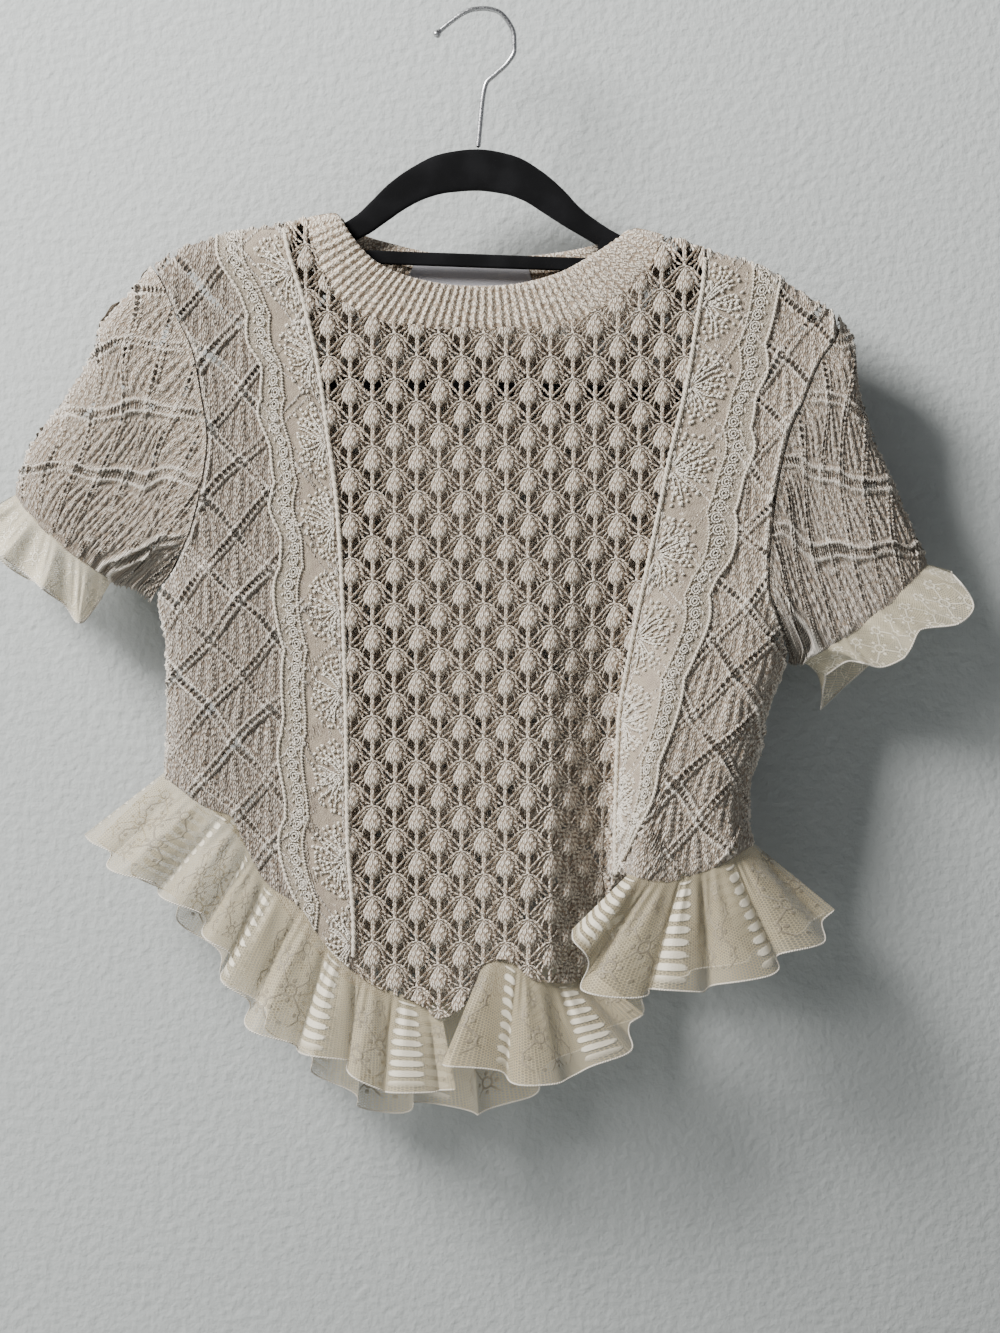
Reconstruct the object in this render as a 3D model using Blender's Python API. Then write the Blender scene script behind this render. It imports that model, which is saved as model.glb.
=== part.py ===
"""Cropped openwork knit top with lace trims, hanging on a slim velvet hanger.

Metres, +Z up. The garment's front faces -Y. The origin is inside the top of the
hanger's hook, where the hook rests on whatever carries it. Lengths below are in
millimetres and become metres only where a mesh is made.

Every cloth piece is one closed wall. Body pieces lie on two depth fields, one for
the front and one for the back: a field gives how far the inside of the cloth
stands from the hanger's middle plane at each place across and up the garment.
"""
import math

import bmesh
import bpy
import numpy as np

MM = 0.001

# Cloth
KNIT = 1.6
LACE = 1.0
RIB_BASE = 1.6
RIB_RAISE = 0.9
SEAM_GAP = 0.3
JOIN_GAP = 0.45
ARMPIT_STEP = (0.4, 1.0, 2.4)

# Leaf lace of the front panel: one bud to each column, half-dropped
BUD_PITCH = 13.3
BUD_REPEAT = 26.8
BUD_RAISE = 2.8
BUD_ROW_TOP = -218.6
BUD_COLUMNS = 12
COLUMN_MIDDLE = -12.6
NECK_CORNER_ROWS = -149.0
NECK_LEFT_COLUMN = -89.6
NECK_RIGHT_COLUMN = 116.8
HOLE_ACROSS = 0.29
HOLE_DOWN = 0.60
HOLE_HALF = 0.17

# Diamond lace of the sides, back and sleeves
DIAMOND_RAISE = 2.0

# Rows of the side and back panels: drops below the top edge, then even rows
TOP_DROPS = (0.0, 3.0, 8.0, 16.0)
ARM_ROWS = 12
LOWER_ROWS = 10
EDGE_COLUMNS = (0.0, 2.5, 8.0, 17.0)
BACK_SPANS = (3, 1, 6, 1, 3)
BACK_NECK_COLUMN = 3.5

# Hanger and hook
HANGER_THICK = 5.2
ARM_HEIGHT = 12.0
BAR_HEIGHT = 8.4
TIE_HEIGHT = 8.0
HOOK_RADIUS = 1.6
HOOK_BALL = 2.7
BALL_STEPS = (0.95, 0.6, 0.0, -0.6)
BALL_SIZES = (0.35, 0.8, 1.0, 0.8)

# Rounding where cloth turns over the shoulder and round the side
SHOULDER_ROUND = 18.0
SIDE_ROUND = 26.0
ARMHOLE_EASE = 45.0
STEEPEST_SLOPE = 8.0

# Armhole and side seam as seen from the front: height, across
SIDE_LEFT = (
    (-153.6, -198.6), (-162.6, -193.8), (-181.8, -186.0), (-205.2, -175.2),
    (-231.6, -169.8), (-257.4, -166.2), (-285.0, -169.8), (-309.6, -175.8),
    (-334.8, -185.4), (-353.4, -195.6), (-381.6, -190.8), (-408.6, -190.2),
    (-436.2, -190.8), (-460.0, -192.0),
)
SIDE_RIGHT = (
    (-182.4, 211.8), (-194.4, 213.0), (-211.8, 203.0), (-236.4, 192.6),
    (-255.6, 184.2), (-305.4, 174.6), (-341.4, 172.2), (-388.8, 181.8),
    (-410.4, 174.6), (-424.2, 170.4), (-448.8, 165.0), (-462.0, 160.8),
    (-483.6, 159.6), (-498.0, 162.6),
)
ARMPIT_LEFT = -353.4
ARMPIT_RIGHT = -388.8

# Shoulder line: across, height
SHOULDER = (
    (-198.6, -153.6), (-178.2, -141.6), (-159.6, -135.6), (-120.0, -127.8),
    (-87.0, -122.4), (0.0, -118.0), (90.6, -131.4), (108.6, -135.6),
    (131.4, -142.2), (165.0, -153.6), (198.6, -174.0), (211.8, -182.4),
)

# Neckband: inner across, inner height, outer across, outer height
NECK_FRONT = (
    (-87.0, -122.4, -105.0, -126.0), (-77.4, -137.4, -99.0, -148.0),
    (-64.2, -151.2, -86.0, -172.4), (-48.6, -159.0, -64.0, -185.0),
    (-33.0, -163.2, -41.0, -189.2), (-16.0, -165.8, -19.0, -190.6),
    (0.0, -166.2, 3.0, -190.9), (16.0, -165.4, 25.0, -190.2),
    (32.0, -162.4, 47.0, -187.9), (47.0, -157.5, 66.0, -180.6),
    (61.0, -150.0, 83.0, -170.0), (75.5, -141.0, 97.5, -157.0),
    (89.4, -131.4, 107.4, -136.2),
)
NECK_BACK = (
    (-87.0, -122.4, -105.0, -126.0), (-78.0, -131.0, -92.0, -144.0),
    (-53.0, -139.0, -62.0, -159.5), (-30.0, -144.0, -33.0, -166.5),
    (-3.0, -146.4, -3.0, -169.0), (28.0, -145.8, 28.0, -168.2),
    (54.0, -142.5, 60.0, -163.5), (76.0, -137.0, 90.0, -152.0),
    (89.4, -131.4, 107.4, -136.2),
)

# Lace strips: height, across. The inner edge is the corded seam.
STRIP_LEFT_INNER = (
    (-126.0, -120.0), (-147.0, -115.2), (-172.8, -107.4), (-197.4, -101.4),
    (-218.4, -97.2), (-257.4, -91.8), (-292.8, -87.0), (-334.2, -84.0),
    (-379.8, -82.2), (-425.4, -81.0), (-496.2, -79.8), (-553.2, -76.2),
    (-580.0, -77.0),
)
STRIP_LEFT_OUTER = (
    (-134.0, -160.0), (-145.8, -158.0), (-172.8, -144.0), (-198.6, -139.8),
    (-216.0, -131.0), (-238.2, -134.6), (-265.2, -125.5), (-296.4, -126.5),
    (-318.0, -119.5), (-342.6, -124.0), (-371.4, -121.0), (-421.2, -118.0),
    (-436.2, -122.0), (-472.2, -117.0), (-492.6, -120.5), (-515.4, -116.5),
    (-540.0, -110.0),
)
STRIP_RIGHT_INNER = (
    (-142.2, 132.0), (-159.6, 131.4), (-188.4, 127.2), (-214.8, 123.0),
    (-236.4, 118.8), (-268.8, 111.0), (-303.0, 104.4), (-349.2, 95.4),
    (-389.4, 88.2), (-425.4, 83.0), (-496.2, 81.6), (-530.0, 82.0),
)
STRIP_RIGHT_OUTER = (
    (-155.0, 178.0), (-176.0, 173.5), (-194.4, 171.0), (-214.8, 169.2),
    (-235.2, 161.4), (-258.6, 162.0), (-283.2, 153.6), (-304.8, 151.8),
    (-328.2, 146.4), (-343.2, 138.0), (-363.6, 134.0), (-387.0, 125.0),
    (-404.4, 119.6), (-424.8, 113.0), (-445.2, 105.0), (-480.0, 97.0),
    (-530.0, 93.0),
)

# Knit hem of the front: across, height
HEM_FRONT = (
    (-192.6, -456.6), (-182.4, -465.0), (-164.4, -477.6), (-150.6, -482.4),
    (-143.4, -496.8), (-130.2, -520.8), (-106.2, -538.8), (-97.2, -553.8),
    (-75.0, -576.0), (-60.0, -585.0), (-37.8, -593.4), (-25.8, -601.8),
    (-12.6, -596.4), (0.6, -569.4), (12.0, -567.0), (33.0, -579.6),
    (52.8, -581.4), (60.0, -573.0), (70.2, -548.4), (77.4, -527.4),
    (83.4, -516.6), (105.0, -520.8), (123.6, -516.6), (140.4, -510.6),
    (162.6, -498.0),
)
HEM_BACK = (
    (-192.6, -456.6), (-152.0, -492.0), (-116.0, -546.0), (-80.0, -584.0),
    (-38.0, -598.0), (-2.0, -596.0), (34.0, -578.0), (70.0, -545.0),
    (106.0, -524.0), (162.6, -498.0),
)

# Folds of the front, left to right: height, across, depth of the cloth's inside
FRONT_FOLDS = (
    ((-140, -169.8, 10), (-260, -148.8, 14), (-380, -160.8, 17), (-500, -142.8, 18)),
    ((-140, -133.8, 10), (-260, -106.8, 13), (-380, -100.8, 16), (-500, -97.8, 21),
     (-560, -91.8, 24)),
    ((-140, -55.0, 12), (-260, -49.8, 14), (-380, -49.8, 17), (-500, -49.8, 22),
     (-600, -44.0, 27)),
    ((-140, -12.6, 12.5), (-260, -12.6, 15), (-380, -12.6, 19), (-500, -12.6, 26),
     (-600, -14.0, 33)),
    ((-140, 31.2, 12.5), (-260, 31.2, 15), (-380, 31.2, 22), (-500, 31.2, 31),
     (-580, 30.0, 37)),
    ((-140, 70.2, 12), (-260, 70.2, 14), (-320, 70.2, 13), (-380, 71.4, 9),
     (-440, 72.6, 6), (-500, 72.0, 4)),
    ((-140, 126.0, 11), (-260, 124.2, 15), (-320, 119.4, 19), (-380, 115.8, 27),
     (-440, 105.0, 36), (-500, 94.2, 42), (-540, 92.0, 43)),
    ((-140, 170.0, 10), (-200, 166.2, 12), (-260, 158.0, 15), (-320, 151.2, 18),
     (-380, 145.2, 25), (-440, 139.2, 33), (-500, 133.2, 37)),
)
# Folds of the back, left to right
BACK_FOLDS = (
    ((-140, -150, 9), (-300, -145, 13), (-460, -150, 17)),
    ((-140, -90, 9), (-300, -86, 12), (-460, -92, 11), (-600, -84, 9)),
    ((-140, -40, 10), (-300, -44, 14), (-460, -36, 18), (-600, -30, 21)),
    ((-140, 12, 10), (-300, 16, 12), (-460, 18, 11), (-600, 16, 10)),
    ((-140, 60, 9), (-300, 62, 13), (-460, 70, 19), (-600, 74, 22)),
    ((-140, 120, 9), (-300, 112, 11), (-460, 118, 12), (-600, 118, 12)),
    ((-140, 150, 9), (-300, 146, 14), (-460, 146, 18)),
)

# Sleeves seen from the front: along the top fold and along the underarm fold
SLEEVE_LEFT_TOP = (
    (-198.6, -153.6), (-209.4, -166.2), (-227.4, -186.0), (-234.0, -205.2),
    (-244.2, -222.6), (-257.4, -241.8), (-273.0, -265.2), (-280.8, -289.8),
)
SLEEVE_LEFT_UNDER = ((-195.6, -353.4), (-204.6, -349.5), (-222.6, -342.6))
SLEEVE_RIGHT_TOP = (
    (211.8, -182.4), (220.2, -195.6), (223.8, -225.0), (230.4, -249.6),
    (242.4, -276.0), (256.8, -309.6), (267.0, -331.8),
)
SLEEVE_RIGHT_UNDER = ((181.8, -388.8), (186.0, -391.5), (192.0, -392.0))
SLEEVE_DEPTH = 17.0
SLEEVE_BOW = 3.0
SLEEVE_FOLD = 2.5

# Free edges of the cuff ruffles, top fold to underarm fold: across, height
CUFF_LEFT_FRONT = (
    (-297.0, -300.0), (-298.0, -317.0), (-283.0, -330.0), (-269.4, -340.2),
    (-258.0, -350.0), (-250.0, -356.0), (-240.6, -367.2), (-229.0, -352.0),
)
CUFF_LEFT_BACK = (
    (-297.0, -300.0), (-296.0, -320.0), (-278.0, -339.0), (-266.0, -344.0),
    (-252.0, -357.0), (-243.0, -366.0), (-234.0, -358.0), (-229.0, -352.0),
)
CUFF_RIGHT_FRONT = (
    (281.0, -337.0), (293.0, -357.0), (282.0, -368.0), (262.0, -371.0),
    (249.0, -389.0), (237.0, -393.6), (220.0, -390.0), (206.0, -398.0),
)
CUFF_RIGHT_BACK = (
    (281.0, -337.0), (284.0, -352.0), (272.0, -362.0), (256.0, -372.0),
    (240.0, -386.0), (218.0, -406.0), (203.4, -419.0), (206.0, -398.0),
)
CUFF_WAVES = 8
CUFF_WAVE_DEPTH = 5.0
CUFF_FLARE = 6.0

# Hem ruffles: hem across, hem height, free edge across, free edge height
RUFFLE_LEFT = (
    (-191.0, -456.0, -239.0, -494.0), (-180.0, -465.0, -216.0, -514.0),
    (-163.0, -477.0, -193.0, -525.6), (-149.0, -483.0, -173.0, -539.0),
    (-142.0, -497.0, -158.0, -557.0), (-129.0, -521.0, -146.0, -588.0),
    (-105.0, -539.0, -131.0, -610.0), (-96.0, -554.0, -106.0, -621.0),
    (-74.0, -576.0, -79.0, -629.0), (-59.0, -585.0, -62.0, -645.0),
    (-37.0, -593.0, -38.0, -645.0), (-24.0, -599.0, -16.0, -643.0),
)
RUFFLE_CENTRE = (
    (1.0, -571.0, -24.0, -628.0), (12.0, -568.0, 6.0, -631.8),
    (33.0, -580.0, 29.0, -639.6), (46.0, -581.0, 53.0, -635.4),
    (54.0, -577.0, 79.8, -623.4), (60.0, -570.0, 96.0, -600.0),
)
RUFFLE_RIGHT = (
    (87.0, -519.0, 53.0, -548.0), (95.0, -520.0, 63.0, -583.0),
    (105.0, -521.0, 85.0, -588.0), (114.0, -519.0, 106.0, -583.0),
    (124.0, -517.0, 124.0, -585.0), (133.0, -514.0, 142.0, -581.0),
    (141.0, -511.0, 163.0, -576.0), (150.0, -505.0, 181.0, -563.0),
    (156.0, -500.0, 198.0, -556.0), (160.5, -494.0, 211.0, -539.0),
)
RUFFLE_BACK = (
    (-190.0, -457.0, -232.0, -497.0), (-152.0, -492.0, -196.0, -528.0),
    (-134.0, -518.0, -160.0, -572.0), (-116.0, -546.0, -126.0, -612.0),
    (-98.0, -566.0, -98.0, -638.0), (-80.0, -584.0, -74.0, -657.0),
    (-58.0, -592.0, -55.0, -664.0), (-38.0, -598.0, -38.0, -657.0),
    (-18.0, -598.0, -4.0, -664.0), (-2.0, -596.0, 21.0, -655.0),
    (34.0, -578.0, 50.0, -628.0), (70.0, -545.0, 86.0, -608.0),
    (106.0, -524.0, 114.0, -582.0), (134.0, -511.0, 152.0, -572.0),
    (159.0, -497.0, 206.0, -541.0),
)
# Hanger: outline of the arch, then the arms' middle lines
ARCH_TOP = (
    (-64.8, -114.0), (-51.6, -100.2), (-38.4, -91.2), (-19.8, -84.6),
    (-9.0, -82.9), (3.0, -82.9), (13.8, -85.8), (28.8, -92.4),
    (42.0, -103.2), (50.4, -112.6), (58.2, -120.6),
)
ARCH_UNDER = (
    (52.8, -132.6), (42.0, -126.0), (28.8, -116.4), (15.6, -110.4),
    (-6.0, -108.0), (-24.6, -109.8), (-38.4, -115.2), (-51.6, -122.4),
    (-63.6, -129.4),
)
ARM_LEFT = (
    (-73.2, -129.0), (-88.0, -135.6), (-104.0, -138.2), (-120.0, -138.2),
    (-140.0, -140.2), (-159.6, -144.1), (-178.0, -151.6), (-195.0, -166.5),
    (-208.0, -182.0), (-216.0, -197.0), (-214.5, -209.0), (-204.5, -217.0),
    (-190.0, -220.0),
)
ARM_RIGHT = (
    (68.7, -133.8), (88.0, -144.6), (108.6, -148.8), (131.4, -151.8),
    (150.0, -156.8), (165.0, -162.9), (186.0, -177.0), (202.0, -193.0),
    (210.0, -207.0), (208.0, -221.0), (198.5, -229.8), (184.0, -234.2),
)
TIE_BAR = ((-86.5, -147.0), (76.0, -152.8))
STRUT_SPANS = ((-86.5, -78.5), (69.0, 76.0))
HOOK_PATH = (
    (-27.4, -13.6), (-24.6, -10.8), (-19.6, -6.8), (-12.4, -1.6),
    (-5.8, 1.0), (0.6, 1.6), (8.4, 0.0), (15.0, -6.2),
    (18.6, -14.6), (18.8, -23.4), (14.6, -31.2), (7.8, -37.6),
    (2.0, -43.2), (0.2, -50.0), (-1.2, -62.4), (-3.0, -82.4),
)

# Part of the back neckband's length that the label covers
LABEL_SPAN = (0.30, 0.64)

COLOURS = {
    "knit": (0.62, 0.55, 0.47, 0.85, 0.0),
    "lace": (0.70, 0.64, 0.52, 0.7, 0.0),
    "tulle": (0.74, 0.69, 0.54, 0.6, 0.0),
    "label": (0.60, 0.60, 0.62, 0.5, 0.0),
    "velvet": (0.012, 0.012, 0.013, 0.95, 0.0),
    "chrome": (0.62, 0.63, 0.64, 0.28, 1.0),
}


def clear_scene():
    """Remove every object of the open scene."""
    for thing in list(bpy.data.objects):
        bpy.data.objects.remove(thing, do_unlink=True)


def material(name):
    """Return the Principled material of one finish, made once."""
    found = bpy.data.materials.get(name)
    if found:
        return found
    red, green, blue, roughness, metallic = COLOURS[name]
    made = bpy.data.materials.new(name)
    made.use_nodes = True
    shader = made.node_tree.nodes["Principled BSDF"]
    shader.inputs["Base Color"].default_value = (red, green, blue, 1.0)
    shader.inputs["Roughness"].default_value = roughness
    shader.inputs["Metallic"].default_value = metallic
    return made


def smoothstep(value):
    """Ease from 0 to 1 as value goes from 0 to 1."""
    value = np.clip(value, 0.0, 1.0)
    return value * value * (3.0 - 2.0 * value)


def curve(rows, at, value=1):
    """Monotone cubic through the rows: column 0 is the key, column `value` the result."""
    table = np.array(sorted(rows), dtype=float)
    keys = table[:, 0]
    values = table[:, value]
    step = np.diff(keys)
    slope = np.diff(values) / step
    tangent = np.concatenate([[slope[0]], np.zeros(len(keys) - 2), [slope[-1]]])
    for k in range(1, len(keys) - 1):
        if slope[k - 1] * slope[k] > 0:
            before = 2 * step[k] + step[k - 1]
            after = step[k] + 2 * step[k - 1]
            tangent[k] = (before + after) / (before / slope[k - 1] + after / slope[k])
    at = np.asarray(at, dtype=float)
    index = np.clip(np.searchsorted(keys, at, side="right") - 1, 0, len(step) - 1)
    t = np.clip((at - keys[index]) / step[index], 0.0, 1.0)
    start = (1 + 2 * t) * (1 - t) ** 2 * values[index]
    end = t * t * (3 - 2 * t) * values[index + 1]
    rise = t * (1 - t) ** 2 * step[index] * tangent[index]
    fall = t * t * (t - 1) * step[index] * tangent[index + 1]
    return start + end + rise + fall


def path(points, t):
    """Smooth path through points, t from 0 at the first to 1 at the last."""
    stations = np.asarray(points, dtype=float)
    lengths = np.concatenate([[0.0], np.cumsum(np.linalg.norm(np.diff(stations, axis=0), axis=1))])
    keys = lengths / lengths[-1]
    columns = []
    for axis in range(stations.shape[1]):
        rows = list(zip(keys, stations[:, axis]))
        columns.append(curve(rows, t))
    return np.stack(columns, axis=-1)


def rounding(distance, radius):
    """Quarter ellipse: 0 at the edge, 1 from `radius` inwards."""
    q = np.clip(distance / radius, 0.0, 1.0)
    return np.sqrt(np.clip(1.0 - (1.0 - q) ** 2, 0.0, 1.0))


def fold_depth(folds, x, z):
    """Depth across the folds at (x, z), eased from each fold line to the next."""
    lines = [(curve(fold, z, 1), curve(fold, z, 2)) for fold in folds]
    depth = lines[0][1] + 0 * x
    for (x_a, d_a), (x_b, d_b) in zip(lines, lines[1:]):
        eased = d_a + (d_b - d_a) * smoothstep((x - x_a) / (x_b - x_a))
        depth = np.where(x > x_a, eased, depth)
    return depth


def inside_left(z):
    """Inner face of the left armhole and side seam."""
    return curve(SIDE_LEFT, z) + KNIT


def inside_right(z):
    """Inner face of the right armhole and side seam."""
    return curve(SIDE_RIGHT, z) - KNIT


def shoulder_height(x):
    """Inner top of the cloth over the hanger's arms."""
    return curve(SHOULDER, x) - KNIT


def armhole_share(z, armpit):
    """1 along an armhole, falling to 0 at the armpit and below it."""
    return smoothstep((z - armpit) / ARMHOLE_EASE)


def body_depth(folds, x, z):
    """Distance of the cloth's inside from the middle plane, rounded at sides and shoulders."""
    depth = fold_depth(folds, x, z)
    left = rounding(x - inside_left(z), SIDE_ROUND)
    right = rounding(inside_right(z) - x, SIDE_ROUND)
    open_left = armhole_share(z, ARMPIT_LEFT)
    open_right = armhole_share(z, ARMPIT_RIGHT)
    left = open_left + (1 - open_left) * left
    right = open_right + (1 - open_right) * right
    top = rounding(shoulder_height(x) - z, SHOULDER_ROUND)
    return np.maximum(depth * left * right * top, SEAM_GAP / 2)


def body_points(folds, facing, x, z, thickness=0.0):
    """Points on a body field, moved out of the cloth by `thickness`."""
    x = np.asarray(x, dtype=float)
    z = np.asarray(z, dtype=float)
    step = 0.05
    depth = body_depth(folds, x, z)
    slope_x = (body_depth(folds, x + step, z) - body_depth(folds, x - step, z)) / (2 * step)
    slope_z = (body_depth(folds, x, z + step) - body_depth(folds, x, z - step)) / (2 * step)
    slope_x = np.clip(slope_x, -STEEPEST_SLOPE, STEEPEST_SLOPE)
    slope_z = np.clip(slope_z, -STEEPEST_SLOPE, STEEPEST_SLOPE)
    normal = np.stack([-slope_x, facing * np.ones_like(x), -slope_z], axis=-1)
    normal /= np.linalg.norm(normal, axis=-1, keepdims=True)
    base = np.stack([x, facing * depth, z], axis=-1)
    return base + normal * np.asarray(thickness)[..., None]


def add_object(name, mesh, finish):
    """Link a finished mesh as one named object."""
    mesh.materials.append(material(finish))
    thing = bpy.data.objects.new(name, mesh)
    bpy.context.scene.collection.objects.link(thing)
    return thing


def close_wall(name, inner, outer, faces, finish):
    """Make a closed wall from matching inner and outer points and one side's faces.

    Edges that belong to one face only, at the border and round a hole, get a rim.
    """
    shell = bmesh.new()
    used = sorted({corner for face in faces for corner in face})
    inside = {k: shell.verts.new(inner[k] * MM) for k in used}
    outside = {k: shell.verts.new(outer[k] * MM) for k in used}
    borders = {}
    for face in faces:
        shell.faces.new([outside[k] for k in face])
        shell.faces.new([inside[k] for k in reversed(face)])
        for a, b in zip(face, face[1:] + face[:1]):
            borders[(a, b)] = (a, b)
    for a, b in borders:
        if (b, a) not in borders:
            shell.faces.new([outside[b], outside[a], inside[a], inside[b]])
    bmesh.ops.recalc_face_normals(shell, faces=shell.faces[:])
    if shell.calc_volume(signed=True) < 0:
        bmesh.ops.reverse_faces(shell, faces=shell.faces[:])
    bmesh.ops.triangulate(shell, faces=shell.faces[:])
    mesh = bpy.data.meshes.new(name)
    shell.to_mesh(mesh)
    shell.free()
    return add_object(name, mesh, finish)


def grid_faces(rows, columns, wrap=False):
    """Quads of a grid whose points are numbered row by row."""
    faces = []
    last = columns if wrap else columns - 1
    for r in range(rows - 1):
        for c in range(last):
            d = (c + 1) % columns
            faces.append((r * columns + c, r * columns + d,
                          (r + 1) * columns + d, (r + 1) * columns + c))
    return faces


def grid_wall(name, inner, outer, finish, wrap=False):
    """Closed wall from two matching grids of points."""
    rows, columns = inner.shape[:2]
    faces = grid_faces(rows, columns, wrap)
    return close_wall(name, inner.reshape(-1, 3), outer.reshape(-1, 3), faces, finish)


def grid_normals(points, wrap=False):
    """Unit normals of a grid surface from its own neighbours."""
    down = np.gradient(points, axis=0)
    if wrap:
        across = np.roll(points, -1, axis=1) - np.roll(points, 1, axis=1)
    else:
        across = np.gradient(points, axis=1)
    normal = np.cross(across, down)
    return normal / np.maximum(np.linalg.norm(normal, axis=-1, keepdims=True), 1e-9)


def front_top(x):
    """Top edge of the front below the neckband and along the shoulders."""
    rows = [(row[2], row[3]) for row in NECK_FRONT]
    neck = np.minimum(curve(rows, x), shoulder_height(x))
    beside = (x < NECK_FRONT[0][2]) | (x > NECK_FRONT[-1][2])
    return np.where(beside, shoulder_height(x), neck)


def back_top(x):
    """Top edge of the back below the neckband and along the shoulders."""
    rows = [(row[2], row[3]) for row in NECK_BACK]
    neck = np.minimum(curve(rows, x), shoulder_height(x))
    beside = (x < NECK_BACK[0][2]) | (x > NECK_BACK[-1][2])
    return np.where(beside, shoulder_height(x), neck)


def row_level(r, top, armpit, hem):
    """Height of row r of a side or back panel at one place across."""
    last_drop = len(TOP_DROPS) - 1
    if r <= last_drop:
        return top - TOP_DROPS[r]
    start = top - TOP_DROPS[-1]
    if r <= last_drop + ARM_ROWS:
        return start + (armpit - start) * (r - last_drop) / ARM_ROWS
    return armpit + (hem - armpit) * (r - last_drop - ARM_ROWS) / LOWER_ROWS


PANEL_ROWS = len(TOP_DROPS) + ARM_ROWS + LOWER_ROWS
ARMPIT_ROW = len(TOP_DROPS) - 1 + ARM_ROWS


class Edge:
    """Edge of a panel as a line of inner and outer points, keyed by their place across."""

    def __init__(self, inner, outer):
        """Sort the edge's points from left to right."""
        order = np.argsort(inner[:, 0])
        self.inner = np.asarray(inner)[order]
        self.outer = np.asarray(outer)[order]

    def beside(self, x, gap, low, high):
        """Points beside the edge, `gap` away in the panel's plane.

        `low` and `high` are how far through the wall the two points lie.
        """
        keys = self.inner[:, 0]
        x = self.snapped(x)
        inner = np.column_stack([np.interp(x, keys, self.inner[:, k]) for k in range(3)])
        outer = np.column_stack([np.interp(x, keys, self.outer[:, k]) for k in range(3)])
        run = np.diff(self.inner[:, [0, 2]], axis=0)
        run /= np.linalg.norm(run, axis=1, keepdims=True)
        square = np.column_stack([-run[:, 1], run[:, 0]])
        turns = np.zeros((len(x), 2))
        for k, place in enumerate(x):
            after = int(np.clip(np.searchsorted(keys, place, side="right") - 1, 0, len(run) - 1))
            before = int(np.clip(np.searchsorted(keys, place, side="left") - 1, 0, len(run) - 1))
            if k == 0:
                before = after
            if k == len(x) - 1:
                after = before
            both = square[before] + square[after]
            turns[k] = 2 * both / max(float(both @ both), 1.0)
        away = np.column_stack([turns[:, 0], 0 * x, turns[:, 1]]) * gap
        first = inner + (outer - inner) * low + away
        second = inner + (outer - inner) * high + away
        return first, second

    def snapped(self, x):
        """Places with the nearest one moved onto each point of the edge."""
        moved = np.array(x, dtype=float)
        for key in self.inner[:, 0]:
            if moved[0] < key < moved[-1]:
                nearest = int(np.argmin(np.abs(moved[1:-1] - key))) + 1
                moved[nearest] = key
        return np.sort(moved)


def arc_columns(z, left, right, distances):
    """Places across where the cloth's own width from the middle reaches each distance."""
    x = np.linspace(left, right, 600)
    depth = body_depth(FRONT_FOLDS, x, np.full_like(x, z))
    run = np.concatenate([[0.0], np.cumsum(np.hypot(np.diff(x), np.diff(depth)))])
    middle = np.interp(COLUMN_MIDDLE, x, run)
    return np.interp(np.asarray(distances) + middle, run, x)


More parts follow.
